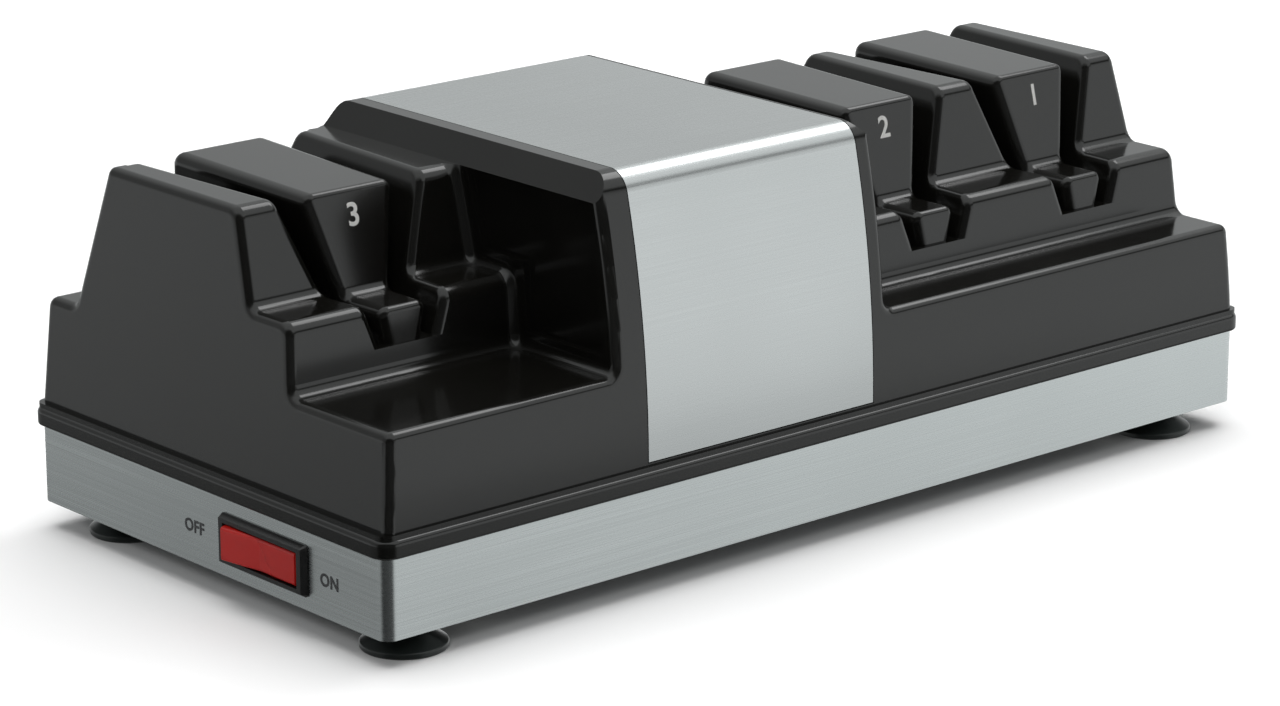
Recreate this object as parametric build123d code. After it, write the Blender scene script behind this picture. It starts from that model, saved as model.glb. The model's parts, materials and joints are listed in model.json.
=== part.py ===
from build123d import *
import math
import os

# Electric knife sharpener with three stages, for the worktop.
# All lengths are millimetres and all angles are degrees.
# +X runs along the length towards the coarse stage, -Y is the front and +Z is up.
# The origin is on the worktop, under the middle of the outline.

# ---------------------------------------------------------------- driving sizes

# steel base band
band_height = 21.8
band_corner = 3.6
band_sheet = 1.0
band_flange = 7.0
foot_height = 7.6

# moulded housing, heights of its steps one above the other
wall = 2.5
lip_height = 6.2
lip_overhang = 1.7
lip_ledge = 1.2
lip_low_round = 0.8
lip_high_round = 1.5
low_shelf_rise = 25.5
high_shelf_rise = 19.0
tower_rise = 25.5
bridge_rise = 7.0
slot_drop = 11.5
rear_shelf_drop = 3.5
left_end_lean = 4.6
right_end_lean = 6.5
rear_lean = 2.0
front_bow = 315.0
skirt_depth = 4.3
skirt_wall = 2.0

# depths of the steps, front to rear, on the fine and coarse side
low_shelf_run = 20.0
riser_lean = 1.5
high_shelf_run = 16.5
tower_front_lean = 6.7
tower_top_run = 57.8
tower_rear_lean = 12.7
strop_setback = 21.5
rear_shelf_run = 13.1

# rounding of the housing
step_round = 4.0
step_cove = 3.5
bridge_cove = 3.0
edge_round = 2.5
slot_round = 2.6
bridge_front_round = 7.0

# bridge over the motor and its steel cover
bridge_width = 96.4
shoulder_run = 5.0
bridge_bevel_run = 5.0
cover_left_strip = 10.0
cover_right_strip = 5.9
cover_sheet = 0.8
cover_gap = 0.3
cover_foot_gap = 1.0
panel_sink = 2.0
panel_margin = 4.5

# sharpening stages, and their distances from each other, the bridge and the ends
left_end_run = 41.3
strop_to_bridge = 35.5
bridge_to_fine = 38.6
stage_pitch = 60.0
right_end_run = 42.2
guide_spread = 46.4
guide_lean = 20.0
stage_flare = 3.0
insert_width = 30.5
insert_lean = 13.5
insert_flare = 0.5
insert_setback = 0.4
insert_ledge_drop = 1.7
insert_front_drop = 0.5
insert_rear_rise = 0.7
insert_round = 1.8
insert_edge_round = 3.0
insert_wall = 2.2
pocket_edge_chamfer = 1.2

# abrasive and stropping discs
disc_radius = 24.0
disc_face_radius = 14.0
disc_cone_depth = 4.1
disc_rim = 1.0
disc_gap = 7.0
disc_reach = 9.0
disc_travel = 1.2
disc_hub_radius = 6.0
disc_hub_length = 2.9
disc_stop_gap = 0.4
disc_clearance = 1.5
pin_radius = 1.0
pin_play = 0.1
spring_radius = 8.0
spring_wire = 1.2
spring_turns = 2.5
spring_seat = 0.05

# motor
shaft_radius = 3.0
shaft_running = 0.05
stack_length = 34.0
stack_width = 72.0
stack_corner = 14.0
armature_radius = 21.5
air_gap = 0.7
pole_spread = 1.25
pole_depth = 5.0
coil_spread = 0.9
coil_gap = 0.3
winding_overhang = 9.0
winding_radius = 19.0
bracket_depth = 25.0
bracket_wall = 3.0
bracket_radius = 33.0
bracket_window = 14.0
bearing_radius = 8.0
bearing_width = 5.0
bearing_seat = 3.0
commutator_radius = 11.0
commutator_length = 8.0
commutator_gap = 0.5
brush_width = 6.0
brush_depth = 5.0
brush_gap = 0.3
brush_length = 11.0
brush_tube_wall = 1.5
fan_radius = 26.0
fan_hub_radius = 8.0
fan_disc = 1.5
fan_depth = 6.0
fan_blade = 1.6
fan_blades = 9
fan_gap = 1.5
cradle_width = 54.0
cradle_bolt_inset = 5.0
cradle_bolt_radius = 2.0
motor_bolt_radius = 1.6
motor_bolt_spread = 28.5

# outboard shaft bearings
outboard_inset = 10.0
outboard_thickness = 8.0
outboard_width = 18.0
outboard_foot = 6.0
outboard_foot_height = 4.0
bush_radius = 5.0

# base plate and feet
plate_thickness = 2.0
plate_gap = 0.3
vent_length = 26.0
vent_width = 3.0
vent_pitch = 8.0
vent_count = 5
foot_inset_left = 15.5
foot_inset_right = 21.0
foot_inset_front = 12.8
foot_inset_rear = 20.0
foot_radius = 11.5
foot_rim = 1.6
foot_neck = 5.5
foot_dome = 5.2
foot_hollow = 9.5
foot_hollow_depth = 2.2
foot_round = 0.6
stud_radius = 2.0
stud_foot_depth = 5.0
nut_across = 7.0
nut_height = 3.2
stud_tail = 1.5
boss_radius = 4.5
boss_inset_x = 40.0
boss_inset_y = 11.5
screw_radius = 1.7
screw_head_radius = 3.4
screw_head_height = 2.2
screw_reach = 18.0

# rocker switch in the left end of the band
switch_inset = 50.2
switch_width = 37.0
switch_height = 14.0
switch_drop = 0.3
switch_rim = 2.0
switch_bevel = 1.6
switch_body_width = 33.2
switch_body_height = 11.6
switch_body_depth = 18.0
switch_wall = 0.9
rocker_radius = 15.5
rocker_play = 0.35
rocker_swing = 9.0
rocker_pivot_depth = 3.0
rocker_face_height = 1.8
rocker_back = 3.4
rocker_edge = 0.9
rocker_pin_radius = 1.0
rocker_pin_play = 0.05
terminal_width = 6.3
terminal_thickness = 0.8
terminal_length = 8.0
terminal_pitch = 11.0

# cord inlet bushing in the right end of the band
gland_inset = 38.0
gland_radius = 6.2
gland_flange = 8.2
gland_bore = 3.6
gland_snap = 0.5
gland_depth = 9.0

# magnets behind the guide walls
magnet_length = 24.0
magnet_height = 12.0
magnet_thickness = 3.0

# ------------------------------------------------------------- worked out sizes

band_bottom = foot_height
band_top = band_bottom + band_height
lip_top = band_top + lip_height
low_shelf = lip_top + low_shelf_rise
high_shelf = low_shelf + high_shelf_rise
tower_top = high_shelf + tower_rise
bridge_top = tower_top + bridge_rise
slot_floor = high_shelf - slot_drop
rear_shelf = slot_floor - rear_shelf_drop

rear_slope = tower_rear_lean / (tower_top - slot_floor)
shelf_slope_run = rear_slope * rear_shelf_drop
steps_run = low_shelf_run + riser_lean + high_shelf_run + tower_front_lean
tower_run = tower_top_run + tower_rear_lean + shelf_slope_run
band_depth = steps_run + tower_run + strop_setback + rear_shelf_run + rear_lean
stages_run = strop_to_bridge + bridge_width + bridge_to_fine + stage_pitch
band_length = left_end_run + stages_run + right_end_run

front = -band_depth / 2
rear = band_depth / 2
half_length = band_length / 2
strop_x = -half_length + left_end_run
bridge_left = strop_x + strop_to_bridge
bridge_right = bridge_left + bridge_width
fine_x = bridge_right + bridge_to_fine
coarse_x = fine_x + stage_pitch

rear_shelf_edge = rear - rear_lean
riser_foot = front + low_shelf_run
riser_head = riser_foot + riser_lean
tower_foot = riser_head + high_shelf_run
tower_front = tower_foot + tower_front_lean
tower_rear = tower_front + tower_top_run
tower_heel = tower_rear + tower_rear_lean
bridge_heel = tower_heel + strop_setback
shelf_heel = tower_heel + shelf_slope_run
bridge_shelf_heel = bridge_heel + shelf_slope_run
bridge_rear = bridge_heel - rear_slope * (bridge_top - slot_floor)
end_foot = half_length - lip_overhang / 2
end_leans = {-1: left_end_lean, 1: right_end_lean}

cover_left = bridge_left + cover_left_strip
cover_right = bridge_right - cover_right_strip

guide_tan = math.tan(math.radians(guide_lean))
insert_tan = math.tan(math.radians(insert_lean))
guide_flare_tan = math.tan(math.radians(stage_flare))
insert_flare_tan = math.tan(math.radians(insert_flare))
guide_walls = (guide_spread, guide_tan, guide_flare_tan)
insert_walls = (insert_width, insert_tan, insert_flare_tan)
stages = {"strop": strop_x, "fine": fine_x, "coarse": coarse_x}
setbacks = {"strop": strop_setback, "fine": 0.0, "coarse": 0.0}

shaft_y = (tower_front + tower_rear + strop_setback) / 2
shaft_z = slot_floor + disc_reach - disc_radius
motor_x = (bridge_left + bridge_right) / 2
shaft_bore = shaft_radius + shaft_running
plate_bottom = band_bottom + band_sheet
plate_top = plate_bottom + plate_thickness
switch_y = front + switch_inset
gland_y = rear - gland_inset
beyond = 400.0

# ------------------------------------------------------------------ small tools


def brick(x0, x1, y0, y1, z0, z1):
    """A box between two corners."""
    size = (x1 - x0, y1 - y0, z1 - z0)
    return Pos((x0 + x1) / 2, (y0 + y1) / 2, (z0 + z1) / 2) * Box(*size)


def rounded_slab(length, depth, corner, z0, z1):
    """An upright slab with rounded vertical corners, centred on the origin."""
    return Pos(0, 0, z0) * extrude(RectangleRounded(length, depth, corner), amount=z1 - z0)


def along_x(face, x0, x1):
    """A side profile, drawn as depth and height, run from x0 to x1."""
    return extrude(Pos(x0, 0, 0) * (Plane.YZ * face), amount=x1 - x0, dir=(1, 0, 0))


def rod(x0, x1, radius, y=0.0, z=0.0):
    """A round bar along X."""
    return Pos((x0 + x1) / 2, y, z) * Rot(0, 90, 0) * Cylinder(radius, x1 - x0)


def on_shaft(x0, x1, radius):
    """A round bar on the line of the motor shaft."""
    return rod(x0, x1, radius, shaft_y, shaft_z)


def side_profile(points, radii):
    return make_face(FilletPolyline(*points, radius=radii, close=True))


def on_plane_x(edge, x):
    """Whether an edge lies in the upright plane at x."""
    box = edge.bounding_box()
    return abs(box.min.X - x) < 1e-4 and abs(box.max.X - x) < 1e-4


def touches(edge, distance):
    """Whether both ends and the middle of an edge lie where distance is zero."""
    return all(abs(distance(edge @ t)) < 1e-3 for t in (0, 0.5, 1))


# ------------------------------------------------------------- housing profiles


def casing_outline(top, corner):
    """Side view of the casing up to a given height, with its bowed front."""
    outline = side_profile(
        [
            (front - lip_overhang, band_top - band_sheet),
            (front - lip_overhang, top),
            (bridge_heel - rear_slope * (top - slot_floor), top),
            (bridge_shelf_heel, rear_shelf),
            (rear_shelf_edge, rear_shelf),
            (rear, lip_top),
            (rear, band_top - band_sheet),
        ],
        [0, 0, corner, step_cove, bridge_cove, 0, 0],
    )
    bow = Pos(front + front_bow, lip_top) * Circle(front_bow)
    return outline & bow


def bridge_profile():
    """Side view of the casing at the bridge, with the rounded front corner on top."""
    face = casing_outline(bridge_top, step_round)
    corner = face.vertices().sort_by_distance((front, bridge_top, 0))[0]
    return fillet(corner, bridge_front_round)


def step_points(setback):
    """The steps from the low shelf up to the front edge of the tower."""
    return [
        (riser_foot + setback, low_shelf),
        (riser_head + setback, high_shelf),
        (tower_foot + setback, high_shelf),
        (tower_front + setback, tower_top),
    ]


def air_over_strop():
    """Side view of the open space above the strop side of the casing."""
    return side_profile(
        [
            (-beyond, low_shelf),
            *step_points(strop_setback),
            (beyond, tower_top),
            (beyond, beyond),
            (-beyond, beyond),
        ],
        [0, step_cove, step_round, step_cove, step_round, 0, 0, 0],
    )


def air_over_grind():
    """Side view of the open space above the fine and coarse side of the casing."""
    return side_profile(
        [
            (-beyond, low_shelf),
            *step_points(0),
            (tower_rear, tower_top),
            (shelf_heel, rear_shelf),
            (beyond, rear_shelf),
            (beyond, beyond),
            (-beyond, beyond),
        ],
        [0, step_cove, step_round, step_cove, step_round, step_round, step_cove, 0, 0, 0],
    )


def coved(air, wall_x):
    """Rounds the end of an air space where it meets the bridge wall, which leaves a cove there."""
    inner = [e for e in air.edges() if on_plane_x(e, wall_x)]
    near = [e for e in inner if abs(e.center().Y) < beyond / 2 and e.center().Z < beyond / 2]
    return fillet(near, bridge_cove)


def end_slope(side):
    """How far an end face comes inwards for each millimetre that it rises."""
    return end_leans[side] / (tower_top - lip_top)


def end_plane_gap(point):
    """How far a point lies from the leaning end faces."""
    side = 1 if point.X > 0 else -1
    return abs(point.X) - (end_foot - (point.Z - lip_top) * end_slope(side))


def front_bow_gap(point):
    """How far a point lies from the bowed front."""
    return math.hypot(point.Y - (front + front_bow), point.Z - lip_top) - front_bow


def leaning_end(side, inset):
    """The space outside one leaning end face, moved inwards by inset."""
    lean = math.degrees(math.atan(end_slope(side)))
    block = Pos(beyond / 2, 0, 0) * Box(beyond, 2 * beyond, 2 * beyond)
    block = Pos(end_foot - inset, 0, lip_top) * Rot(0, -lean, 0) * block
    return block if side > 0 else block.mirror(Plane.YZ)


def casing_blank():
    """The outside of the casing before the slots are cut, with rounded rims."""
    high = bridge_top + 4 * bridge_front_round
    blank = along_x(casing_outline(high, 0), -beyond, beyond)
    blank -= leaning_end(1, 0)
    blank -= leaning_end(-1, 0)
    blank -= coved(along_x(air_over_strop(), -beyond, bridge_left), bridge_left)
    blank -= coved(along_x(air_over_grind(), bridge_right, beyond), bridge_right)
    blank = fillet(end_rims(blank) + front_rims(blank) + strop_rear_rim(blank), edge_round)
    above = Pos(0, high) * Rectangle(beyond, 2 * (high - tower_top)) - bridge_profile()
    blank -= along_x(above.faces().sort_by(SortBy.AREA)[-1], -beyond, beyond)
    return blank - bridge_shoulder() - bridge_bevel()


def end_rims(blank):
    """The edges round the two leaning end faces."""
    return [e for e in blank.edges() if touches(e, end_plane_gap) and e.bounding_box().max.Z > lip_top + 1]


def front_rims(blank):
    """The front edges of the two low shelves and the upright edges of the bridge front."""
    rims = [e for e in blank.edges() if touches(e, front_bow_gap) and not touches(e, end_plane_gap)]
    rims = [e for e in rims if e.bounding_box().min.Z > low_shelf - 1 and e.bounding_box().size.Y < band_depth / 2]
    return [e for e in rims if not bridge_left + 1 < e.center().X < bridge_right - 1]


def strop_rear_rim(blank):
    """The rear edge of the tower on the strop side."""
    y = tower_rear + strop_setback
    level = [e for e in blank.edges().filter_by(Axis.X) if abs(e.center().Z - tower_top) < 1e-3]
    return [e for e in level if abs(e.center().Y - y) < 1e-3]


# ---------------------------------------------------------------- stage spaces


def wall_plane(x, setback, side, walls):
    """A wall of a stage, which leans outwards upwards and flares outwards to the rear."""
    width, slope, flare = walls
    start = (x + side * width / 2, tower_front + setback, tower_top)
    return Plane(origin=start, x_dir=(side * flare, 1, 0), z_dir=(side, -flare, -slope))


def wall_gap(x, setback, side, walls):
    """A measure of how far a point lies from one wall of a stage."""
    width, slope, flare = walls
    y = tower_front + setback
    return lambda p: side * (p.X - x) - width / 2 - flare * (p.Y - y) + slope * (tower_top - p.Z)


def wedge_space(x, setback, walls, grow, floor, top):
    """The space between the two flaring walls of one stage, from floor to top."""
    space = brick(x - beyond / 2, x + beyond / 2, front - wall, rear + wall, floor, top)
    for side in (-1, 1):
        outside = Pos(0, 0, grow + beyond / 2) * Box(2 * beyond, 2 * beyond, beyond)
        space -= wall_plane(x, setback, side, walls) * outside
    return space


def guide_space(x, setback, grow, floor, top):
    """The space between the two guide walls of one stage."""
    return wedge_space(x, setback, guide_walls, grow, floor, top)


def land_profile(setback):
    """Side view of a tower, carried on down below the slot floor."""
    foot = low_shelf + step_cove
    points = [(riser_foot + riser_lean * step_cove / high_shelf_rise + setback, foot), *step_points(setback)[1:]]
    points += [(tower_rear + setback, tower_top), (tower_heel + setback, slot_floor)]
    points += [(tower_heel + setback, foot)]
    return side_profile(points, [0, step_round, step_cove, step_round, step_round, 0, 0])


def land(setback, x0, x1, guides):
    """A stretch of tower between slots, with rounded edges where it faces one."""
    body = along_x(land_profile(setback), x0, x1)
    for x, side in guides:
        body -= guide_space(x, setback, 0, low_shelf, bridge_top)
    edges = []
    for x, side in guides:
        gap = wall_gap(x, setback, side, guide_walls)
        edges += [e for e in body.edges() if touches(e, gap) and e.bounding_box().max.Z > slot_floor]
    return fillet(edges, slot_round)


def slot_corridor(setback, x0, x1):
    """The room cleared above the slot floor, before the lands go back in."""
    clear = brick(x0, x1, front - wall, rear + wall, slot_floor, tower_top + wall)
    nose = riser_foot + riser_lean * (slot_floor - low_shelf) / high_shelf_rise + setback
    c = pocket_edge_chamfer
    low, high = slot_floor - c, slot_floor + c
    bevel = make_face(Polyline((nose - c, low), (nose - c, high), (nose + c, high), close=True))
    return clear + along_x(Pos(0, -0.01) * bevel, x0, x1)


# -------------------------------------------------------------------- housing


def casing_outside():
    """The outside of the casing with its leaning slots."""
    shape = casing_blank()
    left_end = end_foot - left_end_lean - 2 * edge_round
    right_end = end_foot - right_end_lean - 2 * edge_round
    strop_far = bridge_left - bridge_cove - edge_round
    grind_far = bridge_right + bridge_cove + edge_round
    shape -= slot_corridor(strop_setback, -left_end, strop_far)
    shape -= slot_corridor(0, grind_far, right_end)
    shape += land(strop_setback, -left_end - 1, strop_x, [(strop_x, -1)])
    shape += land(strop_setback, strop_x, strop_far + 1, [(strop_x, 1)])
    shape += land(0, grind_far - 1, fine_x, [(fine_x, -1)])
    shape += land(0, fine_x, coarse_x, [(fine_x, 1), (coarse_x, -1)])
    shape += land(0, coarse_x, right_end + 1, [(coarse_x, 1)])
    return shape


def casing_cavity():
    """The hollow inside the casing, one wall in from every outer face."""
    hollow = along_x(offset(bridge_profile(), amount=-wall), -beyond, beyond)
    hollow -= leaning_end(1, wall)
    hollow -= leaning_end(-1, wall)
    hollow -= along_x(offset(air_over_strop(), amount=wall), -beyond, bridge_left + wall + panel_sink)
    hollow -= along_x(offset(air_over_grind(), amount=wall), bridge_right - wall, beyond)
    hollow -= Pos(wall * math.hypot(shoulder_run, bridge_rise) / bridge_rise, 0, 0) * bridge_shoulder()
    hollow -= Pos(-wall * math.sqrt(2), 0, 0) * bridge_bevel()
    for name, x in stages.items():
        hollow -= guide_space(x, setbacks[name], wall, slot_floor - wall, beyond)
    mouth = brick(
        -end_foot + wall, end_foot - wall, front + wall, rear - wall, band_top - lip_height, low_shelf - 2 * wall
    )
    mouth -= leaning_end(1, wall)
    mouth -= leaning_end(-1, wall)
    front_bow_inside = Pos(0, front + front_bow, lip_top) * Rot(0, 90, 0) * Cylinder(front_bow - wall, 2 * beyond)
    return hollow + (mouth & front_bow_inside)


def lip_ring():
    """The rounded lip that overhangs the steel band, with a thin ledge on top of it."""
    outer_length = band_length + 2 * lip_overhang
    outer_depth = band_depth + 2 * lip_overhang
    ring = rounded_slab(outer_length, outer_depth, band_corner + lip_overhang, band_top, lip_top - lip_ledge)
    ring = fillet(ring.edges().group_by(Axis.Z)[0], lip_low_round)
    ring = fillet(ring.edges().group_by(Axis.Z)[-1], lip_high_round)
    ledge = rounded_slab(band_length + lip_overhang, band_depth + lip_overhang, band_corner, band_top, lip_top)
    return ring + ledge


def skirt_ring():
    """The hidden skirt that locates the casing inside the band."""
    length = band_length - 2 * (band_sheet + plate_gap)
    depth = band_depth - 2 * (band_sheet + plate_gap)
    corner = band_corner - band_sheet - plate_gap
    outer = rounded_slab(length, depth, corner, band_top - skirt_depth, band_top)
    inner = rounded_slab(length - 2 * skirt_wall, depth - 2 * skirt_wall, corner - skirt_wall / 2, 0, beyond)
    return outer - inner


def boss_places():
    """The four places where screws hold the base plate to the casing."""
    x = half_length - boss_inset_x
    y = band_depth / 2 - boss_inset_y
    return [(sx * x, sy * y) for sx in (-1, 1) for sy in (-1, 1)]


def screw_boss(x, y):
    """A round boss from the base plate up to the shelf above it."""
    top = (low_shelf if y < 0 else rear_shelf) - wall / 2
    return Pos(x, y, (plate_top + top) / 2) * Cylinder(boss_radius, top - plate_top)


def bridge_panel():
    """The shallow sunk panel in the left wall of the bridge."""
    m = panel_margin
    face = Polyline(
        (front + m + 2, low_shelf + m),
        (riser_foot + strop_setback - m, low_shelf + m),
        (riser_head + strop_setback - m, high_shelf + m),
        (tower_foot + strop_setback - m, high_shelf + m),
        (tower_front + strop_setback - m, tower_top),
        (front + m + tower_front_lean, tower_top),
        close=True,
    )
    return along_x(make_face(face), bridge_left - wall, bridge_left + panel_sink)


def bridge_shoulder():
    """The sloping shoulder along the top left edge of the bridge."""
    face = Polyline(
        (bridge_left, tower_top),
        (bridge_left + shoulder_run, bridge_top),
        (bridge_left + 2 * shoulder_run, bridge_top + bridge_rise),
        (-beyond, bridge_top + bridge_rise),
        (-beyond, tower_top),
        close=True,
    )
    return extrude(Plane.XZ * make_face(face), amount=beyond, both=True)


def bridge_bevel():
    """The small bevel along the top right edge of the bridge."""
    run = bridge_bevel_run
    face = Polyline(
        (bridge_right + bridge_rise - run, tower_top),
        (bridge_right - 2 * run, bridge_top + run),
        (bridge_right + beyond, bridge_top + run),
        (bridge_right + beyond, tower_top),
        close=True,
    )
    return extrude(Plane.XZ * make_face(face), amount=beyond, both=True)


def cover_band(thickness, x0, x1, foot):
    """A skin of the bridge from the front lip over the top and down the back."""
    outside = bridge_profile()
    skin = outside - offset(bridge_profile(), amount=-thickness)
    keep = Pos((front + bridge_shelf_heel) / 2, lip_top + foot + beyond / 2) * Rectangle(
        bridge_shelf_heel - front, beyond
    )
    skin = skin & keep
    skin -= Pos(bridge_shelf_heel, rear_shelf) * Rectangle(2 * (bridge_heel - bridge_rear), 2 * (step_cove + foot))
    skin = skin.faces().sort_by(SortBy.AREA)[-1]
    return along_x(skin, x0, x1)


def disc_window(x):
    """The opening in the slot floor that the discs stand up through."""
    half = guide_spread / 2 - (tower_top - slot_floor) * guide_tan - cover_gap
    reach = math.sqrt(disc_radius**2 - (slot_floor - wall - shaft_z) ** 2) + disc_clearance / 2
    return brick(x - half, x + half, shaft_y - reach, shaft_y + reach, slot_floor - 2 * wall, slot_floor + wall)


def upper_housing():
    shape = casing_outside()
    shape -= bridge_panel()
    shape -= bridge_shoulder()
    shape -= cover_band(cover_sheet, cover_left - cover_gap, cover_right + cover_gap, cover_foot_gap - cover_gap)
    shape += lip_ring()
    shape -= brick(-beyond, beyond, -beyond, beyond, 0, band_top)
    shape -= casing_cavity()
    shape += skirt_ring() - casing_cavity()
    for x, y in boss_places():
        shape += screw_boss(x, y)
    for x, y in boss_places():
        depth = screw_reach + plate_thickness
        shape -= Pos(x, y, plate_bottom + depth / 2) * Cylinder(screw_radius, depth)
    for x in stages.values():
        shape -= disc_window(x)
    return shape


def steel_cover():
    skin = cover_band(cover_sheet, cover_left, cover_right, cover_foot_gap)
    return skin - bridge_shoulder()


# ------------------------------------------------------------------ the stages


def insert_blank(x, setback, shrink):
    """The wedge between the two slots of a stage, made smaller all round by shrink."""
    wedge = wedge_space(x, setback, insert_walls, -shrink, slot_floor - wall, bridge_top)
    ledge = high_shelf - insert_ledge_drop
    points = [
        (riser_foot + setback + insert_setback, slot_floor - beyond / 4),
        (riser_head + setback + insert_setback, ledge),
        (tower_foot + setback, ledge),
        (tower_front + setback, tower_top - insert_front_drop),
        (tower_rear + setback, tower_top + insert_rear_rise),
        (tower_heel + setback, slot_floor),
        (tower_heel + setback, slot_floor - beyond / 4),
    ]
    side = side_profile(points, [0, insert_round, step_cove, insert_round, step_round, 0, 0])
    if shrink:
        side = offset(side, amount=-shrink)
    return wedge & along_x(side, x - beyond, x + beyond)


def guide_insert(x, setback):
    body = insert_blank(x, setback, 0)
    body = body & brick(x - beyond, x + beyond, -beyond, beyond, slot_floor, beyond)
    edges = []
    for side in (-1, 1):
        gap = wall_gap(x, setback, side, insert_walls)
        edges += [e for e in body.edges() if touches(e, gap) and e.bounding_box().max.Z > slot_floor + 1e-3]
    body = fillet(edges, insert_edge_round)
    body -= insert_blank(x, setback, insert_wall)
    body -= on_shaft(x - insert_width, x + insert_width, disc_radius + disc_clearance)
    return body.solids().sort_by(SortBy.VOLUME)[-1]


def guide_magnets():
    """One bar magnet against the back of every guide wall."""
    bars = []
    for name, x in stages.items():
        along = tower_top_run / 2
        down = (tower_top - high_shelf) / 2 / math.cos(math.radians(guide_lean))
        out = wall + magnet_thickness / 2
        for side in (-1, 1):
            place = wall_plane(x, setbacks[name], side, guide_walls)
            down_side = -1 if place.y_dir.Z > 0 else 1
            bar = Box(magnet_length, magnet_height, magnet_thickness)
            bars.append(place * Pos(along, down_side * down, out) * bar)
    return Compound(children=bars)


def disc(x, side):
    """A sprung disc with a conical working face that looks away from its neighbour."""
    back = disc_gap / 2
    rim = back + disc_rim
    face = rim + disc_cone_depth
    hub_in = disc_travel + disc_stop_gap
    hub_out = face + disc_hub_length
    profile = make_face(
        Polyline(
            (hub_in, shaft_bore),
            (hub_out, shaft_bore),
            (hub_out, disc_hub_radius),
            (face, disc_hub_radius),
            (face, disc_face_radius),
            (rim, disc_radius),
            (back, disc_radius),
            (back, disc_hub_radius),
            (hub_in, disc_hub_radius),
            close=True,
        )
    )
    body = revolve(profile, Axis.X)
    slot_half = pin_radius + pin_play
    seat = pin_place() - slot_half
    notch = brick(seat, hub_out + 1, -slot_half, slot_half, -2 * disc_hub_radius, 2 * disc_hub_radius)
    body -= notch
    if side < 0:
        body = body.mirror(Plane.YZ)
    return Pos(x, shaft_y, shaft_z) * body


def pin_place():
    """Distance of a drive pin from the middle of its stage."""
    return disc_gap / 2 + disc_rim + disc_cone_depth + disc_hub_length / 2


def drive_pins():
    pins = []
    for x in stages.values():
        for side in (-1, 1):
            place = Pos(x + side * pin_place(), shaft_y, shaft_z)
            pins.append(place * Cylinder(pin_radius, 2 * disc_hub_radius))
    return Compound(children=pins)


def disc_spring(x):
    """The spring that pushes the two discs of a stage apart."""
    run = disc_gap - spring_wire - 2 * spring_seat
    path = Helix(run / spring_turns, run, spring_radius, center=(0, 0, 0), direction=(0, 0, 1))
    section = Plane(origin=path @ 0, z_dir=path % 0) * Circle(spring_wire / 2)
    coil = Pos(0, 0, -run / 2) * sweep(section, path=path)
    return Pos(x, shaft_y, shaft_z) * Rot(0, 90, 0) * coil


# ---------------------------------------------------------------------- motor


def motor_shaft():
    reach = outboard_face() + outboard_thickness - 0.5
    bar = on_shaft(-reach, reach, shaft_radius)
    for pin in drive_pins().solids():
        bar -= pin
    return bar


def outboard_face():
    """Distance of the inner face of an outboard bearing from the middle."""
    return end_foot - outboard_inset - outboard_thickness + wall


def field_stack():
    """Laminated field of the motor, with a round bore and two coil windows."""
    half = stack_length / 2
    square = RectangleRounded(stack_width, stack_width, stack_corner)
    bore = armature_radius + air_gap
    face = square - Circle(bore)
    window = RectangleRounded(stack_width * 0.3, bore * 2.45, 3.0)
    face -= Pos(bore * 0.72, 0) * window
    face -= Pos(-bore * 0.72, 0) * window
    poles = Circle(bore + pole_depth) - Circle(bore)
    poles &= Rectangle(bore * pole_spread, stack_width)
    face += poles
    for sy in (-1, 1):
        for sz in (-1, 1):
            face -= Pos(sy * motor_bolt_spread, sz * motor_bolt_spread) * Circle(motor_bolt_radius)
    return Pos(motor_x - half, shaft_y, shaft_z) * (Plane.YZ * extrude(face, amount=stack_length))


def field_coils():
    """Two wound coils, one round each pole, that stand out past the stack."""
    reach = stack_length / 2 + winding_overhang * 0.7
    bore = armature_radius + air_gap
    inside = bracket_radius - bracket_wall - coil_gap
    ring = rod(-reach, reach, inside) - rod(-beyond, beyond, bore + 4 * coil_gap)
    ring &= brick(-reach, reach, -bore * coil_spread, bore * coil_spread, -beyond, beyond)
    pole = Box(stack_length + 2 * coil_gap, bore * pole_spread + 2 * coil_gap, 2 * stack_width)
    ring -= pole
    coils = [ring & brick(-reach, reach, -bore, bore, 0, beyond)]
    coils.append(coils[0].mirror(Plane.XY))
    return Compound(children=[Pos(motor_x, shaft_y, shaft_z) * coil for coil in coils])


def armature_stack():
    half = stack_length / 2
    return on_shaft(motor_x - half, motor_x + half, armature_radius) - on_shaft(-beyond, beyond, shaft_radius)


def armature_winding():
    half = stack_length / 2
    bore = on_shaft(-beyond, beyond, shaft_radius)
    parts = []
    for side in (-1, 1):
        a = motor_x + side * half
        b = a + side * winding_overhang
        head = on_shaft(min(a, b), max(a, b), winding_radius)
        rims = [e for e in head.edges().filter_by(GeomType.CIRCLE) if abs(e.center().X - b) < 1e-3]
        parts.append(fillet(rims, winding_overhang / 2) - bore)
    return Compound(children=parts)


def commutator_start():
    return motor_x + stack_length / 2 + winding_overhang + commutator_gap


def commutator():
    x0 = commutator_start()
    return on_shaft(x0, x0 + commutator_length, commutator_radius) - on_shaft(-beyond, beyond, shaft_radius)


def cooling_fan():
    """Fan between the armature and the left bracket, blades towards the bracket."""
    x1 = motor_x - stack_length / 2 - winding_overhang - fan_gap
    x0 = x1 - fan_disc
    body = on_shaft(x0, x1, fan_radius) + on_shaft(x1 - fan_depth, x1, fan_hub_radius)
    blade = brick(x1 - fan_depth, x0, fan_hub_radius - 1, fan_radius - 0.5, -fan_blade / 2, fan_blade / 2)
    for i in range(fan_blades):
        turned = Rot(i * 360 / fan_blades, 0, 0) * blade
        body += Pos(0, shaft_y, shaft_z) * turned
    return body - on_shaft(-beyond, beyond, shaft_radius)


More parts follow.
